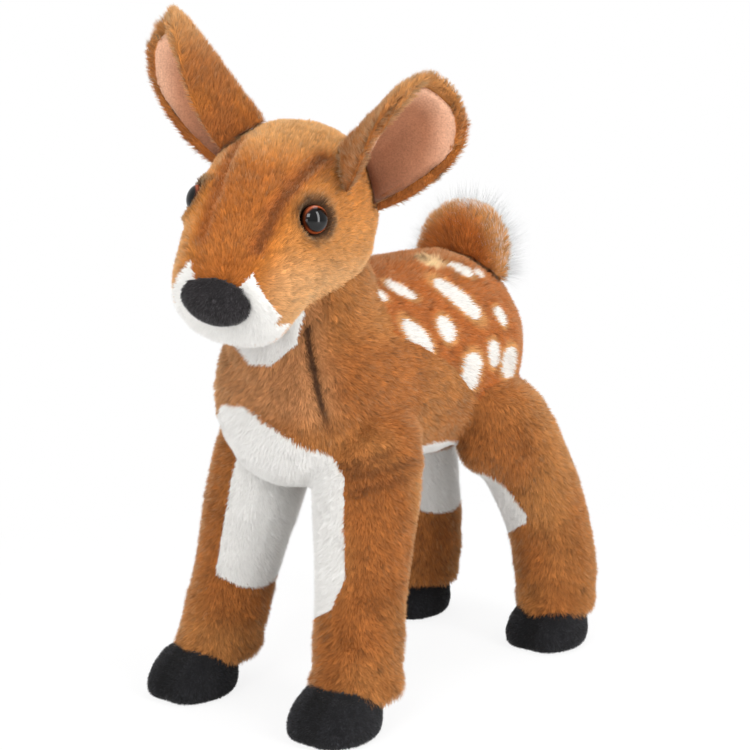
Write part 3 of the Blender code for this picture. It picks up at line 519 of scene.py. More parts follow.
def mesh_of(name, points, faces):
    """A smooth-shaded mesh from arrays of corners and equal-sided faces."""
    mesh = bpy.data.meshes.new(name)
    mesh.vertices.add(len(points))
    mesh.vertices.foreach_set("co", points.astype(np.float32).ravel())
    mesh.loops.add(faces.size)
    mesh.loops.foreach_set("vertex_index", faces.astype(np.int32).ravel())
    mesh.polygons.add(len(faces))
    starts = np.arange(len(faces), dtype=np.int32) * faces.shape[1]
    mesh.polygons.foreach_set("loop_start", starts)
    mesh.update(calc_edges=True)
    return mesh


def add_layer(mesh, name, kind, values):
    """Values for each corner of a mesh."""
    layer = mesh.attributes.new(name, kind, "POINT")
    layer.data.foreach_set(LAYER_KEYS[kind], np.asarray(values, np.float32).ravel())


def paint(mesh, colours):
    """Give the corners of a mesh their colours, painted shade and light among them."""
    add_layer(mesh, "coat", "FLOAT_COLOR", np.insert(colours, 3, 1.0, axis=1))


def add_piece(name, mesh, material):
    """A piece of the fawn that rides with it."""
    mesh.materials.append(material)
    piece = placed(name, mesh)
    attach(piece, "root")
    return piece


def add_cloth(name, part, mesh):
    """The skin or the pile of a node."""
    _, slot = finish_of(name)
    backing, pile = OTHER_CLOTHS.get(slot, DYED_CLOTH)
    material = bpy.data.materials[pile if part == "_pile" else backing]
    return add_piece(name + part, mesh, material)


def largest_part(count, faces):
    """Which corners belong to the largest connected part."""
    labels = np.arange(count)
    while True:
        low = labels[faces].min(axis=1)
        lower = labels.copy()
        for k in range(faces.shape[1]):
            np.minimum.at(lower, faces[:, k], low)
        lower = lower[lower]
        if np.array_equal(lower, labels):
            return labels == np.bincount(labels).argmax()
        labels = lower


def keep_faces(points, faces, kept):
    """Only the kept faces, with the corners that they use. Also gives their old places."""
    faces = faces[kept]
    used = np.unique(faces)
    places = np.zeros(len(points), np.int64)
    places[used] = np.arange(len(used))
    return points[used], places[faces], used


def edges_of(faces):
    """Each edge of the faces once."""
    pairs = np.concatenate([
        np.stack((faces[:, k], faces[:, (k + 1) % faces.shape[1]]), axis=1)
        for k in range(faces.shape[1])
    ])
    return np.unique(np.sort(pairs, axis=1), axis=0)


def neighbour_means(values, edges):
    """For each corner, the mean of its neighbours' values."""
    size = len(values)
    total = np.empty_like(values)
    for axis in range(values.shape[1]):
        layer = values[:, axis]
        total[:, axis] = np.bincount(edges[:, 0], layer[edges[:, 1]], size)
        total[:, axis] += np.bincount(edges[:, 1], layer[edges[:, 0]], size)
    return total / np.bincount(edges.ravel(), minlength=size)[:, None]


def relaxed(points, faces, steps):
    """Corners smoothed several times, each time in and a little further out again, so
    that the form keeps its size."""
    edges = edges_of(faces)
    for way in RELAX_WAYS * steps:
        points = points + way * (neighbour_means(points, edges) - points)
    return points


def corner_normals(points, faces):
    """Normals of the corners, weighted by the faces' sizes."""
    across = points[faces[:, 2]] - points[faces[:, 0]]
    other = points[faces[:, 3 % faces.shape[1]]] - points[faces[:, 1]]
    crossed = np.cross(across, other)
    total = np.zeros_like(points)
    for k in range(faces.shape[1]):
        for axis in range(3):
            total[:, axis] += np.bincount(faces[:, k], crossed[:, axis], len(points))
    return unit(total)


def fused(names, voxel, smoothing):
    """One soft closed skin round CAD nodes, as corners and four-sided faces."""
    points, triangles, _ = joined(names)
    rough = placed("rough", mesh_of("rough", points, triangles))
    remesh = rough.modifiers.new("Fuse", "REMESH")
    remesh.mode = "VOXEL"
    remesh.voxel_size = voxel
    depsgraph = bpy.context.evaluated_depsgraph_get()
    mesh = rough.evaluated_get(depsgraph).to_mesh()
    points = read_values(mesh.vertices, "co", 3, np.float32).astype(float)
    faces = read_values(mesh.loops, "vertex_index", 1, np.int32).reshape(-1, 4)
    bpy.data.objects.remove(rough)
    inside = largest_part(len(points), faces)
    points, faces, _ = keep_faces(points, faces, inside[faces[:, 0]])
    return relaxed(points, faces, smoothing), faces


def nearest_owner(names):
    """A function that tells which of the CAD nodes is nearest to each point."""
    points, triangles, owners = joined(names)
    tree = BVHTree.FromPolygons(points.tolist(), triangles.tolist())

    def owner_of(places):
        return np.array([owners[tree.find_nearest(place)[2]] for place in places.tolist()])

    return owner_of


def spot_cover(points):
    """How far a point of the saddle lies inside a spot: under 1 is inside."""
    out = points[:, 0] - TORSO_MIDDLE[0]
    up = points[:, 2] - TORSO_MIDDLE[2]
    radius = np.hypot(out, up)
    round_angle = np.arctan2(np.abs(out), up)
    nearest = np.full(len(points), np.inf)
    for behind, degrees, length, width, turn in SPOTS:
        along = points[:, 1] - TORSO_MIDDLE[1] - behind
        down = (round_angle - math.radians(degrees)) * radius
        lean = math.radians(turn)
        lengthwise = (along * math.cos(lean) + down * math.sin(lean)) / (length / 2)
        crosswise = (down * math.cos(lean) - along * math.sin(lean)) / (width / 2)
        reach = np.abs(lengthwise) ** SPOT_ROUNDNESS + np.abs(crosswise) ** SPOT_ROUNDNESS
        nearest = np.minimum(nearest, reach ** (1 / SPOT_ROUNDNESS))
    return nearest


def line_distance(points, line, facing=None):
    """Distance of points from a line through several places, and mostly across a facing
    direction where one is given."""
    line = np.array(line)
    if facing is not None:
        across = np.eye(3) - SEAM_FLATTENING * np.outer(facing, facing) / np.dot(facing, facing)
        points, line = points @ across, line @ across
    nearest = np.full(len(points), np.inf)
    for start, end in zip(line, line[1:]):
        run = end - start
        share = np.clip((points - start) @ run / (run @ run), 0, 1)
        off = points - start - share[:, None] * run
        nearest = np.minimum(nearest, np.linalg.norm(off, axis=1))
    return nearest


def brow_distance(points):
    """Distance of points from the seam over each brow."""
    local = in_head(points)
    local[:, 0] = np.abs(local[:, 0])
    return line_distance(local, BROW_SEAM, BROW_FACING)


def height_share(points, node):
    """How high points lie in the box of a node, from 0 to 1."""
    low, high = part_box(node)
    return (points[:, 2] - low.z) / (high.z - low.z)


def dyed(points, colour):
    """One colour for all points."""
    return np.tile(linear(colour), (len(points), 1))


def mixed(colours, other, share):
    """Colours mixed towards another by a share for each."""
    return colours + (linear(other) - colours) * share[:, None]


def marked(colours, mark, measure, share=1.0):
    """Colours under a marking, by a measure and a share for each."""
    colour, cover, ends = MARKS[mark]
    return mixed(colours, colour, cover * smooth_step(*ends, measure) * share)


def coat_colour(name, points):
    """Colour of the cloth at points of one node, with painted shade along the neck seam and
    in the shoulder creases.
    """
    plain = by_word(PLAIN_CLOTHS, name)
    if plain:
        return dyed(points, plain)
    if "hoof" in name:
        return hoof_colour(name, points)
    if name == "head":
        return head_colour(points)
    if name == "saddle":
        return saddle_colour(points)
    if name.startswith("ear_"):
        return ear_colour(name, points)
    if name == "tail_front":
        return tail_colour(points)
    colours = marked(dyed(points, BROWN), "brown_light", uneven(points, "brown"))
    colours = marked(colours, "breast", points[:, 1], zone("breast_height", points[:, 2]))
    # Painted shade along the neck seam and in the shoulder creases
    seam = line_distance(points, NECK_SEAM, NECK_FACING) + uneven(points, "neck_seam")
    colours = marked(colours, "neck_painted_shade", seam)
    colours = marked(colours, "neck_painted_shade_line", seam, zone("neck_line_height", points[:, 2]))
    for crease in SHOULDER_CREASES:
        colours = marked(colours, "crease", line_distance(points, crease, NECK_FACING))
    return colours


def head_colour(points):
    """Golden with a rust bridge between the brow seams, pale cheeks, painted fill light on the
    jaw, painted light on the crown, and sooty rings round the eyes."""
    local = in_head(points)
    side = np.abs(local[:, 0])
    up = local[:, 2]
    light = CHEEK_LIGHT * zone("cheek_width", side) * zone("cheek_height", up)
    light += PATCH_LIGHT * zone("light_patch", uneven(points, "head"))
    # Painted light: the crown lighter, as where light catches the top of the head's pile
    light += CROWN_PAINTED_LIGHT * zone("crown_height", up)
    colours = mixed(dyed(points, GOLD), GOLD_LIGHT, np.minimum(HEAD_LIGHT * light, 1))
    colours = marked(colours, "temple", side, zone("temple_height", up))
    # Painted fill light on the lower cheeks
    colours = marked(colours, "jaw_painted_fill_light", side, zone("jaw_height", up))
    edge = BRIDGE_HALF_WIDTH + BRIDGE_FLARE * np.maximum(up, 0)
    share = zone("bridge_height", up) * zone("bridge_depth", local[:, 1])
    colours = marked(colours, "bridge", side / edge, share * patchy(points, "bridge"))
    seam = brow_distance(points)
    share = patchy(points, "brow") * np.where(local[:, 0] > 0, 1.0, RIGHT_BROW_SHARE)
    colours = marked(colours, "brow", seam)
    colours = marked(colours, "brow_line", seam, share)
    for distance, *_ in round_eyes(points):
        colours = marked(colours, "eye_ring", distance + uneven(points, "eye_ring"))
    return colours


def saddle_colour(points):
    """Rust with white spots that have a golden edge, and a light swirl near the tail."""
    colours = marked(dyed(points, SADDLE_RUST), "saddle_brown", uneven(points, "saddle"))
    swirl = np.linalg.norm(points - SWIRL_PLACE, axis=1) + uneven(points, "swirl")
    colours = marked(colours, "swirl", swirl)
    reach = spot_cover(points)
    colours = marked(colours, "spot_edge", reach)
    return mixed(colours, WHITE, reach < 1)


def ear_colour(name, points):
    """Brown with painted shade in the fold at the root, and golden at the tip."""
    share = height_share(points, name.replace("_edge", ""))
    colours = marked(dyed(points, BROWN), "ear_gold", uneven(points, "ear"))
    # Painted shade in the fold at the root
    colours = marked(colours, "ear_root_painted_shade", share)
    return marked(colours, "ear_tip", share)


def tail_colour(points):
    """Dark rust at the root and golden round the rim."""
    low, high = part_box("tail_front")
    out = (points[:, 0] - (low.x + high.x) / 2) / (high.x - low.x) * 2
    reach = np.hypot(out, height_share(points, "tail_front"))
    colours = marked(dyed(points, TAIL_RUST), "tail_root", reach)
    return marked(colours, "tail_rim", reach)


def hoof_colour(name, points):
    """Black with a darker band over the seam between the toes."""
    low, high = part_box(name)
    off = np.abs(points[:, 0] - (low.x + high.x) / 2)
    return marked(dyed(points, BLACK), "hoof_band", off)


def flow(name, points, normals):
    """Direction in which the pile is combed, along the skin."""
    count = len(points)
    combed = by_word(COMBED, name)
    if combed:
        way = np.tile(combed, (count, 1))
    elif name in ("head", "muzzle"):
        way = points - np.array(head_frame() @ NOSE_PLACE)
    elif "tail" in name:
        low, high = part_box("tail_front")
        way = points - ((low.x + high.x) / 2, (low.y + high.y) / 2, low.z)
    else:
        back = 1 - BREAST_COMB_LOSS * zone("breast_comb", points[:, 1])
        way = np.stack((np.zeros(count), back, np.full(count, BACK_COMB_DOWN)), axis=1)
        spoke = points - SWIRL_PLACE
        curl = SWIRL_CURL * zone("swirl_comb", np.linalg.norm(spoke, axis=1))
        way = unit(way) + curl[:, None] * unit(np.cross(normals, spoke))
    way = unit(way)
    way = unit(way - (way * normals).sum(1, keepdims=True) * normals)
    return turned(way, normals, uneven(points, "wide_turn") + uneven(points, "small_turn"))


def turned(way, normals, angles):
    """Directions along a skin turned about its normals."""
    side = np.cross(normals, way)
    return way * np.cos(angles)[:, None] + side * np.sin(angles)[:, None]


def scattered(faces, layers, density, rng):
    """Random places spread evenly over faces: the face of each, and each layer of the
    corners' values there. The first layer is the corners' places."""
    triangles = np.concatenate((faces[:, (0, 1, 2)], faces[:, (0, 2, 3)]))
    a, b, c = (layers[0][triangles[:, k]] for k in range(3))
    area = np.linalg.norm(np.cross(b - a, c - a), axis=1) / 2
    counts = area * density * PER_SQUARE_MM + rng.random(len(area))
    chosen = np.repeat(np.arange(len(triangles)), np.floor(counts).astype(int))
    u, v = rng.random((2, len(chosen)))
    over = u + v > 1
    u[over], v[over] = 1 - u[over], 1 - v[over]
    shares = np.stack((1 - u - v, u, v), axis=1)[:, :, None]
    spread = [(layer[triangles[chosen]] * shares).sum(1) for layer in layers]
    return chosen % len(faces), spread


def by_chance(rng, count, least, more):
    """Shares from the least up, by chance."""
    return least + more * rng.random(count)


def clumped(roots, tips, draw, rng):
    """Tips drawn together in small clumps, and the number of each strand's clump."""
    count = max(1, len(roots) // CLUMP_STRANDS)
    leaders = rng.choice(len(roots), count, replace=False)
    tree = KDTree(count)
    for k, place in enumerate(roots[leaders].tolist()):
        tree.insert(place, k)
    tree.balance()
    clumps = np.array([tree.find(place)[1] for place in roots.tolist()])
    pull = draw * by_chance(rng, len(roots), *PULLS)
    return tips + (tips[leaders][clumps] - tips) * pull[:, None], clumps


def pile_mesh(name, roots, normals, tips, widths, colours, tilt, softness, rng):
    """Strands as slim three-sided spikes. The softer the pile, the more its normals
    follow the skin's, so that it is shaded as one surface."""
    count = len(roots)
    along = unit(tips - roots)
    side = unit(np.cross(normals, along))
    over = np.cross(along, side)
    half = widths[:, None] / 2
    corners = (roots - side * half, roots + side * half, roots + over * half, tips)
    starts = np.arange(count)[:, None, None] * 4
    faces = (starts + np.array(SPIKE_FACES)).reshape(-1, 3)
    mesh = mesh_of(name, np.stack(corners, axis=1).reshape(-1, 3), faces)
    soft = softness * normals + NORMAL_SCATTER * softness * rng.standard_normal((count, 3)) + tilt
    own = NORMAL_TURN - softness
    facing = (soft - own * side, soft + own * side, soft + own * over, soft + NORMAL_LEAN * along)
    add_layer(mesh, "custom_normal", "FLOAT_VECTOR", unit(np.stack(facing, axis=1)))
    paint(mesh, np.repeat(colours, 4, axis=0))
    add_layer(mesh, "tip", "FLOAT", np.tile((0, 0, 0, 1), count))
    bake_cells(mesh, count)
    return mesh


def bake_cells(mesh, count):
    """A UV cell for each strand."""
    columns = math.ceil(math.sqrt(count))
    cell = 1 / columns
    place = np.stack((np.arange(count) % columns, np.arange(count) // columns), axis=1)
    outline = np.array(SPIKE_CELL)[np.array(SPIKE_FACES).ravel()]
    uvs = (place[:, None, :] + outline[None]) * cell
    layer = mesh.uv_layers.new(name="OFBake")
    layer.uv.foreach_set("vector", uvs.astype(np.float32).ravel())


def seam_share(points):
    """How near points lie to a sunken seam or a crease, from 0 to 1."""
    neck = line_distance(points, NECK_SEAM, NECK_FACING)
    share = hill(np.minimum(brow_distance(points), neck), SEAM_WIDTH)
    for crease in SHOULDER_CREASES:
        near = CREASE_SHARE * hill(line_distance(points, crease), SEAM_WIDTH)
        share = np.maximum(share, near)
    return share


def parted(roots, reach, lengths):
    """Directions of strands turned away from the eyes, and lengths shortened beside them."""
    for distance, _, _, away in round_eyes(roots):
        near = (distance < PARTING_REACH) * zone("eye_parting", np.linalg.norm(away, axis=1))
        reach = unit(reach + near[:, None] * unit(away))
        lengths = lengths * (1 - PARTING_SHORTENING * near)
    return reach, lengths


def cuff_share(name, points):
    """How near points lie to the end of their leg, from 0 to 1."""
    if "leg" not in name:
        return np.zeros(len(points))
    low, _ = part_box(name.replace("_panel", ""))
    return smooth_step(low.z + CUFF_PILE_HEIGHT, low.z + CUFF_FULL_HEIGHT, points[:, 2])


def pile_density(name):
    kind, _ = finish_of(name)
    return PILES[kind][0] * 1


def grow_pile(name, roots, facing, seed):
    """The pile of one piece, from its strands' roots."""
    kind, _ = finish_of(name)
    _, length, width, lift, draw, softness, contrasts = PILES[kind]
    rng = np.random.default_rng(seed)
    count = len(roots)
    colours = coat_colour(name, roots)
    pale = zone("pale_cloth", colours[:, 2])
    calm = 1 - PALE_CALM * pale
    cuff = cuff_share(name, roots)
    spread = uneven(roots, "lift") + LIFT_SPREAD * rng.standard_normal(count)
    lifts = math.radians(lift) * (1 + spread)
    lifts += (PALE_LIFT - lifts) * PALE_LIFT_SHARE * pale
    lifts *= 1 - CUFF_LOWERING * cuff
    lengths = length * (by_chance(rng, count, *LENGTHS) + uneven(roots, "length"))
    lengths *= (1 + CUFF_LENGTHENING * cuff) * (1 - SEAM_SHORTENING * seam_share(roots))
    turn = TURN_SPREAD * rng.standard_normal(count)
    way = turned(flow(name, roots, facing), facing, turn)
    reach = way * np.cos(lifts)[:, None] + facing * np.sin(lifts)[:, None]
    if name == "head":
        reach, lengths = parted(roots, reach, lengths)
    tips, clumps = clumped(roots, roots + reach * lengths[:, None], draw * calm, rng)
    tips[:, 2] = np.maximum(tips[:, 2], LOWEST_TIP)
    clump_count = clumps.max() + 1
    strand, clump, patch = contrasts
    shade = strand * rng.standard_normal(count)
    shade += clump * rng.standard_normal(clump_count)[clumps]
    shade += patch * (uneven(roots, "small_patch") + uneven(roots, "large_patch"))
    colours = np.clip(colours * (1 + shade * calm)[:, None], *SHADE_LIMITS)
    tilt = CLUMP_TILT * softness * rng.standard_normal((clump_count, 3))[clumps] * calm[:, None]
    widths = width * by_chance(rng, count, *WIDTHS)
    mesh = pile_mesh(name + "_pile", roots, facing, tips, widths, colours, tilt, softness, rng)
    add_cloth(name, "_pile", mesh)


def add_node(tree, kind, constants=None, **settings):
    """A shader node with its settings and the constants of its sockets."""
    made = tree.nodes.new("ShaderNode" + kind)
    for key, value in settings.items():
        setattr(made, key, value)
    for socket, value in (constants or {}).items():
        made.inputs[socket].default_value = value
    return made


def join_nodes(tree, *links):
    """Link shader nodes: each link is a node, its output, another node and its input."""
    for giver, output, taker, entry in links:
        tree.links.new(giver.outputs[output], taker.inputs[entry])


def new_material(name, constants):
    """A material, its node tree, and its shader with the constants of its sockets."""
    material = bpy.data.materials.new(name)
    material.use_nodes = True
    shader = material.node_tree.nodes["Principled BSDF"]
    for socket, value in constants.items():
        shader.inputs[socket].default_value = value
    return material, material.node_tree, shader


def add_grain(tree, scale, levels):
    """A fine grain over the object, and its levels."""
    place = add_node(tree, "TexCoord")
    grain = add_node(tree, "TexNoise", {"Scale": scale, "Detail": 2.0})
    level = add_node(tree, "MapRange", levels)
    join_nodes(tree, (place, "Object", grain, "Vector"), (grain, "Fac", level, "Value"))
    return grain, level


def tone(tree, level, shader):
    """Give a shader the corners' colours, painted shade and light among them, scaled by a level.
    """
    coat = add_node(tree, "Attribute", attribute_name="coat")
    toned = add_node(tree, "VectorMath", operation="SCALE")
    join_nodes(
        tree, (coat, "Color", toned, 0), (level, 0, toned, "Scale"),
        (toned, "Vector", shader, "Base Color"),
    )


def add_plush(name, sheen, tint, roughness, root_painted_shade, tip_painted_highlight, grain):
    """Cloth coloured by its corners' colours, with a fine grain, painted shade at the roots and
    a painted highlight at the tips."""
    _, tree, shader = new_material(name, {
        "Roughness": roughness, "Specular IOR Level": 0.25, "Sheen Weight": sheen,
        "Sheen Roughness": 0.5, "Sheen Tint": (*tint, 1),
    })
    _, level = add_grain(tree, PLUSH_GRAIN_SCALE, {"To Min": 1 - grain, "To Max": 1 + grain})
    tip = add_node(tree, "Attribute", attribute_name="tip")
    # Painted shade at the roots, which also covers the skins, up to a painted highlight at the
    # tips
    fade = add_node(tree, "MapRange", {"To Min": root_painted_shade, "To Max": tip_painted_highlight})
    both = add_node(tree, "Math", operation="MULTIPLY")
    join_nodes(
        tree, (tip, "Fac", fade, "Value"), (level, "Result", both, 0),
        (fade, "Result", both, 1),
    )
    tone(tree, both, shader)


def grooved(points, normals):
    """Draw the skin in along its sunken seams and creases."""
    return points - normals * (SEAM_DEPTH * seam_share(points))[:, None]


def raised_lids(points):
    """Raise a soft rim round each eye."""
    for _, axis, along, away in round_eyes(points):
        rise = LID_RISE * hill(np.linalg.norm(away, axis=1) - LID_RADIUS, LID_WIDTH)
        rise *= np.abs(along) < LID_RADIUS
        points = points + rise[:, None] * axis
    return points


def flared_cuffs(points):
    """Let each leg widen at its end, over the hoof."""
    points = points.copy()
    for name in LEG_NODES:
        low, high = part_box(name)
        flat = points[:, :2]
        inside = (flat > np.array(low.xy) - BODY_SINK).all(axis=1)
        inside &= (flat < np.array(high.xy) + BODY_SINK).all(axis=1)
        inside &= points[:, 2] < low.z + CUFF_HEIGHT
        away = flat[inside] - flat[inside].mean(0)
        heights = points[inside, 2]
        share = smooth_step(low.z + CUFF_HEIGHT, low.z + CUFF_FULL_HEIGHT, heights)
        points[inside, :2] += CUFF_SPREAD * share[:, None] * away
    return points


def full_flank(points):
    """Let the left flank bulge down before the thigh."""
    away = np.linalg.norm(points - FLANK_PLACE, axis=1)
    return points + hill(away, FLANK_REACH)[:, None] * FLANK_SHIFT


def recut(places, owners):
    """Owners of places, with the cloth above each white leg panel and outside its
    rounded lower corner given to its leg, and the cheeks behind the muzzle to the head."""
    owners = owners.copy()
    x, y, z = in_head(places).T
    cheek = (y > MUZZLE_REAR) & (np.abs(x) > MUZZLE_SIDE) & (z > MUZZLE_JAW)
    owners[(owners == FUSED_NODES.index("muzzle")) & cheek] = FUSED_NODES.index("head")
    out = np.abs(places[:, 0] - TORSO_MIDDLE[0])
    beyond_edge = np.maximum(out + TORSO_MIDDLE[0] - FRONT_PANEL_EDGE, 0)
    front_top = FRONT_PANEL_TOP - FRONT_PANEL_FALL * beyond_edge
    for name, (width, height, fullness) in PANEL_CORNERS.items():
        low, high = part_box(name)
        widest = max(abs(low.x - TORSO_MIDDLE[0]), abs(high.x - TORSO_MIDDLE[0]))
        across = np.maximum(1 - (widest - out) / width, 0)
        down = np.maximum(1 - (places[:, 2] - low.z) / height, 0)
        top = front_top if "front" in name else REAR_PANEL_TOP
        beyond = (places[:, 2] > top) | (across ** fullness + down ** fullness > 1)
        leg = FUSED_NODES.index(name.replace("_panel", ""))
        owners[(owners == FUSED_NODES.index(name)) & beyond] = leg
    return owners


def border_faces(count, faces, owners):
    """Whether each face touches the cloth of another node."""
    lowest = np.full(count, len(FUSED_NODES))
    highest = np.full(count, -1)
    for k in range(faces.shape[1]):
        np.minimum.at(lowest, faces[:, k], owners)
        np.maximum.at(highest, faces[:, k], owners)
    return (lowest != highest)[faces].any(axis=1)


def clear_of_eyes(roots):
    """Whether each root stands outside the eyes."""
    return np.all([distance > EYE_CLEARANCE for distance, *_ in round_eyes(roots)], axis=0)


def add_skin(name, points, faces, colours):
    """The soft skin that stands for a node."""
    mesh = mesh_of(name + "_skin", points, faces)
    paint(mesh, colours)
    skin = add_cloth(name, "_skin", mesh)
    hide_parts(name)


def build_body():
    """The sewn body: one soft skin, parted into the cloth of each node, and its pile."""
    plain, faces = fused(FUSED_NODES + FILLER_NODES, SKIN_VOXEL, BODY_SMOOTHING)
    owner_of = nearest_owner(FUSED_NODES)
    middles = plain[faces].mean(axis=1)
    owners = recut(middles, owner_of(middles))
    points = full_flank(flared_cuffs(raised_lids(plain)))
    points = grooved(points, corner_normals(points, faces))
    normals = corner_normals(points, faces)
    sunk = points - normals * BODY_SINK
    rng = np.random.default_rng(BODY_ROOT_SEED)
    densest = max(pile_density(name) for name in FUSED_NODES)
    at, (roots, facing, before) = scattered(faces, (sunk, normals, plain), densest, rng)
    root_owners = owners[at]
    unsure = border_faces(len(plain), faces, owners)[at]
    root_owners[unsure] = recut(before[unsure], owner_of(before[unsure]))
    chance = rng.random(len(roots))
    for k, name in enumerate(FUSED_NODES):
        some, own_faces, used = keep_faces(sunk, faces, owners == k)
        add_skin(name, some, own_faces, coat_colour(name, points[used]))
        grown = (root_owners == k) & (chance < pile_density(name) / densest)
        if name == "head":
            grown &= clear_of_eyes(roots)
        grow_pile(name, roots[grown], facing[grown], BODY_PILE_SEED + k)


def build_small(name, voxel, sink, seed, lining=None):
    """A separate soft piece, with its pile off the bare part of a lining where it has one."""
    points, faces = fused((name,), voxel, SMALL_SMOOTHING)
    normals = corner_normals(points, faces)
    depth = sink * zone("sole_height", points[:, 2])
    points = points - normals * depth[:, None]
    points[:, 2] = np.maximum(points[:, 2], 0)
    add_skin(name, points, faces, coat_colour(name, points))
    rng = np.random.default_rng(seed + SMALL_ROOT_SEED)
    _, (roots, facing) = scattered(faces, (points, normals), pile_density(name), rng)
    if lining:
        off = [lining.find_nearest(place)[3] > LINING_MARGIN for place in roots.tolist()]
        roots, facing = roots[off], facing[off]
    grow_pile(name, roots, facing, seed)


def lining_material():
    """Suede of the ear linings, toned by colours with painted shade in the root's fold."""
    material, tree, shader = new_material("lining_suede_cloth", {
        "Roughness": 0.75, "Specular IOR Level": 0.3, "Sheen Weight": 0.20,
        "Sheen Roughness": 0.45, "Sheen Tint": (1.0, 0.66, 0.46, 1.0),
    })
    nap, level = add_grain(tree, LINING_GRAIN_SCALE, {
        "From Min": 0.30, "From Max": 0.70, "To Min": 0.80, "To Max": 1.16,
    })
    bump = add_node(tree, "Bump", {"Strength": 0.25, "Distance": LINING_BUMP})
    join_nodes(tree, (nap, "Fac", bump, "Height"), (bump, "Normal", shader, "Normal"))
    tone(tree, level, shader)
    return material


def lining_reach(points):
    """How far a point of a lining lies from its middle, where 1 is its rounded edge."""
    middle = points.mean(0)
    _, _, axes = np.linalg.svd(points - middle, full_matrices=False)
    flat = (points - middle) @ axes[:2].T
    low, high = flat.min(0), flat.max(0)
    flat = np.abs(flat - (low + high) / 2) / ((high - low) / 2)
    return (flat ** LINING_ROUNDNESS).sum(1) ** (1 / LINING_ROUNDNESS)


def drawn_out(points, normals, reach, back):
    """A lining drawn out towards its ear's rim, and a little off the cloth behind it."""
    middle = points.mean(0)
    behind, _ = node_arrays(back)
    open_way = unit(middle - behind.mean(0))
    outward = points - middle
    outward = unit(outward - (outward * normals).sum(1, keepdims=True) * normals)
    amount = LINING_SPREAD * zone("lining_reach", reach)
    return points + amount[:, None] * outward + LINING_RISE * open_way


def evened_normals(normals, faces):
    """Normals evened out over a few mm, so that a cloth shows no facets."""
    edges = edges_of(faces)
    for _ in range(LINING_EVENING):
        normals = unit(normals + neighbour_means(normals, edges))
    return normals


def lining_colour(points, reach, lining, back):
    """Tan with painted shade in the fold, a painted highlight along the edge, and the ear's
    own colour past the edge.
    """
    share = height_share(points, lining)
    # Painted shade in the fold, and a painted highlight along the rim
    colours = marked(dyed(points, LINING_TAN), "lining_fold_painted_shade", share)
    colours = marked(colours, "lining_edge", reach, zone("lining_height", share))
    colours *= 1 + uneven(points, "lining")[:, None]
    return np.where((reach < 1)[:, None], colours, ear_colour(back, points))


def build_ears():
    """The ears: furry backs and suede linings."""
    suede = lining_material()
    for side, sign in SIDES:
        back = "ear_back_" + side
        lining = "ear_lining_" + side
        points, faces = fused((lining,), LINING_VOXEL, LINING_SMOOTHING)
        reach = lining_reach(points)
        points = drawn_out(points, corner_normals(points, faces), reach, back)
        normals = corner_normals(points, faces)
        bare = (reach < 1)[faces]
        near = BVHTree.FromPolygons(points.tolist(), faces[bare.all(axis=1)].tolist())
        build_small(back, EAR_VOXEL, SMALL_SINK, EAR_SEED + sign, near)
        mesh = mesh_of(lining + "_cloth", points, faces)
        paint(mesh, lining_colour(points, reach, lining, back))
        add_layer(mesh, "custom_normal", "FLOAT_VECTOR", evened_normals(normals, faces))
        piece = add_piece(lining + "_cloth", mesh, suede)
        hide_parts(lining)
        furry = faces[~bare.any(axis=1)]
        rng = np.random.default_rng(EAR_EDGE_ROOT_SEED + sign)
        _, (roots, facing) = scattered(furry, (points, normals), pile_density(back), rng)
        grow_pile(back + "_edge", roots, facing, EAR_EDGE_SEED + sign)


def eye_material():
    """Glossy eye: black pupil, amber ring and dark rim under a clear coat."""
    material, tree, shader = new_material("eye_gloss", {
        "Roughness": 0.35, "Specular IOR Level": 0.0, "Coat Weight": 1.0, "Coat IOR": 1.37,
        "Coat Roughness": 0.03,
    })
    share = add_node(tree, "Attribute", attribute_name="rim_share")
    upright = add_node(tree, "Attribute", attribute_name="upright")
    ramp = add_node(tree, "ValToRGB")
    stops = ramp.color_ramp.elements
    stops.remove(stops[1])
    for place, colour in IRIS_STOPS:
        stop = stops.new(place) if place else stops[0]
        stop.color = (*linear(colour), 1)
    toned = add_node(tree, "VectorMath", operation="SCALE")
    join_nodes(
        tree, (share, "Fac", ramp, "Fac"), (ramp, "Color", toned, 0),
        (upright, "Fac", toned, "Scale"), (toned, "Vector", shader, "Base Color"),
    )
    return material


def eye_form():
    """Corners and faces of an eye at its seat: a dome on its shank."""
    slopes = np.linspace(EYE_FIRST_SLOPE, math.pi / 2, EYE_RINGS)
    profile = [(EYE_RADIUS * math.sin(a), EYE_BULGE * math.cos(a)) for a in slopes]
    profile += [
        (EYE_BACK_RADIUS, EYE_BACK), (EYE_SHANK_RADIUS, EYE_BACK),
        (EYE_SHANK_RADIUS, -EYE_SHANK_LENGTH), (EYE_SHANK_END_RADIUS, -EYE_SHANK_LENGTH),
    ]
    angles = np.linspace(0, math.tau, EYE_CORNERS, endpoint=False)
    points = [(r * math.cos(a), r * math.sin(a), h) for r, h in profile for a in angles]
    points += [(0, 0, EYE_BULGE), (0, 0, -EYE_SHANK_LENGTH)]
    top = len(points) - 2
    last = top - EYE_CORNERS
    here = np.arange(EYE_CORNERS)
    following = np.roll(here, -1)
    starts = np.arange(0, last, EYE_CORNERS)[:, None]
    below = starts + EYE_CORNERS
    faces = np.stack((starts + here, below + here, below + following, starts + following), axis=-1)
    caps = [(top, j, k) for j, k in zip(here, following)]
    caps += [(top + 1, last + k, last + j) for j, k in zip(here, following)]
    return np.array(points), faces.reshape(-1, 4).tolist() + caps


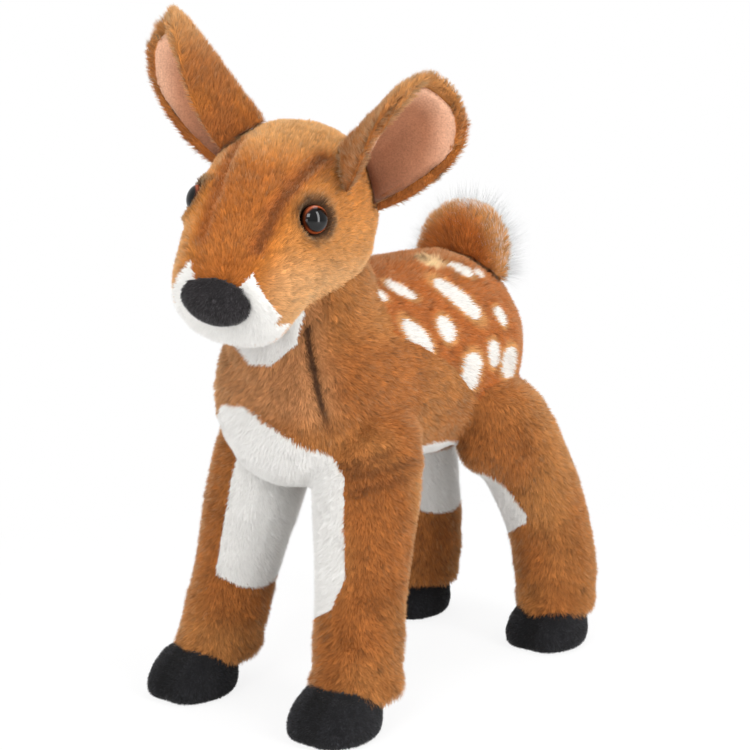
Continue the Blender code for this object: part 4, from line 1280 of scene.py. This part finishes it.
def build_eyes():
    """Both eyes as smooth domes on their shanks."""
    material = eye_material()
    points, faces = eye_form()
    out = np.hypot(points[:, 0], points[:, 1])
    for side, _ in SIDES:
        centre, axis = EYE_PLACES[side]
        turn = np.array(Vector(axis).to_track_quat("Z", "Y").to_matrix())
        rise = np.abs(points[:, :2] @ turn[2, :2]) / np.maximum(out, TINY)
        mesh = bpy.data.meshes.new("eye")
        mesh.from_pydata((points @ turn.T + centre).tolist(), [], faces, shade_flat=False)
        add_layer(mesh, "rim_share", "FLOAT", out / EYE_RADIUS)
        upright = IRIS_SHADE + (1 - IRIS_SHADE) * zone("iris_rise", rise)
        add_layer(mesh, "upright", "FLOAT", np.where(out > 0, upright, 1))
        piece = add_piece(f"eye_{side}_dome", mesh, material)
        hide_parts("eye_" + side)


def washer_look():
    """Milky moulded plastic of the washers behind the eyes."""
    material, tree, shader = new_material("washer_moulding", {"Roughness": 0.45})
    place = add_node(tree, "TexCoord")
    cloud = add_node(tree, "TexNoise", {"Scale": 150.0})
    ramp = add_node(tree, "ValToRGB")
    for stop, grey in zip(ramp.color_ramp.elements, WASHER_GREYS):
        stop.color = grey
    join_nodes(
        tree, (place, "Object", cloud, "Vector"), (cloud, "Fac", ramp, "Fac"),
        (ramp, "Color", shader, "Base Color"),
    )
    for side, _ in SIDES:
        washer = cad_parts["eye_washer_" + side]
        washer.data.materials.clear()
        washer.data.materials.append(material)


def add_camera():
    """The camera at the photograph's place."""
    back = Vector((
        math.sin(CAMERA_AZIMUTH) * math.cos(CAMERA_ELEVATION),
        -math.cos(CAMERA_AZIMUTH) * math.cos(CAMERA_ELEVATION),
        math.sin(CAMERA_ELEVATION),
    ))
    camera = placed("camera", bpy.data.cameras.new("camera"))
    camera.data.lens = LENS
    camera.data.sensor_width = SENSOR
    camera.location = CAMERA_TARGET + back * CAMERA_DISTANCE
    camera.rotation_euler = (-back).to_track_quat("-Z", "Y").to_euler()
    bpy.context.scene.camera = camera


def show_white(tree, lit, white, end, share=None):
    """Show what is lit mixed with a white that only the camera sees, by a share."""
    path = add_node(tree, "LightPath")
    seen = add_node(tree, "Math", {1: 1.0}, operation="MULTIPLY")
    mix = add_node(tree, "MixShader")
    join_nodes(
        tree, (path, "Is Camera Ray", seen, 0), (seen, 0, mix, "Fac"), (lit, 0, mix, 1),
        (white, 0, mix, 2), (mix, 0, tree.nodes[end], "Surface"),
    )
    if share:
        join_nodes(tree, (share, "Result", seen, 1))


def build_floor():
    """White floor that fades into the white surroundings."""
    material, tree, shader = new_material("floor_white", {
        "Base Color": FLOOR_COLOUR, "Roughness": 1.0, "Specular IOR Level": 0.0,
    })
    place = add_node(tree, "TexCoord")
    away = add_node(tree, "VectorMath", operation="LENGTH")
    fade = add_node(tree, "MapRange", {
        "From Min": FLOOR_GLOW_START, "From Max": FLOOR_GLOW_END, "To Min": FLOOR_GLOW_NEAR,
        "To Max": 1.0,
    })
    join_nodes(tree, (place, "Object", away, 0), (away, "Value", fade, "Value"))
    show_white(tree, shader, add_node(tree, "Emission"), "Material Output", fade)
    half = FLOOR_SIZE / 2
    corners = half * np.array(((-1, -1, 0), (1, -1, 0), (1, 1, 0), (-1, 1, 0)))
    floor = placed("floor", mesh_of("floor", corners, np.array(((0, 1, 2, 3),))))
    floor.data.materials.append(material)


def build_light():
    """White surroundings and soft lamps."""
    world = bpy.data.worlds.new("studio")
    bpy.context.scene.world = world
    world.use_nodes = True
    tree = world.node_tree
    white = {"Color": (1, 1, 1, 1), "Strength": 1.0}
    dim = add_node(tree, "Background", white | {"Strength": WORLD_LEVEL})
    show_white(tree, dim, add_node(tree, "Background", white), "World Output")
    for name, place, width, height, power in LAMPS:
        lamp = placed(name, bpy.data.lights.new(name, "AREA"))
        lamp.data.shape = "RECTANGLE"
        lamp.data.size = width
        lamp.data.size_y = height
        lamp.data.energy = power
        lamp.location = place
        lamp.rotation_euler = (CAMERA_TARGET - Vector(place)).to_track_quat("-Z", "Y").to_euler()


def build_fawn():
    """The whole dressed fawn on its stage."""
    bpy.context.scene.view_settings.view_transform = "Standard"
    add_camera()
    build_floor()
    build_light()
    for name, look in PLUSHES.items():
        add_plush(name, *look)
    build_body()
    build_ears()
    for name, make in SMALL_PIECES.items():
        build_small(name, *make)
    build_eyes()
    washer_look()


build_fawn()
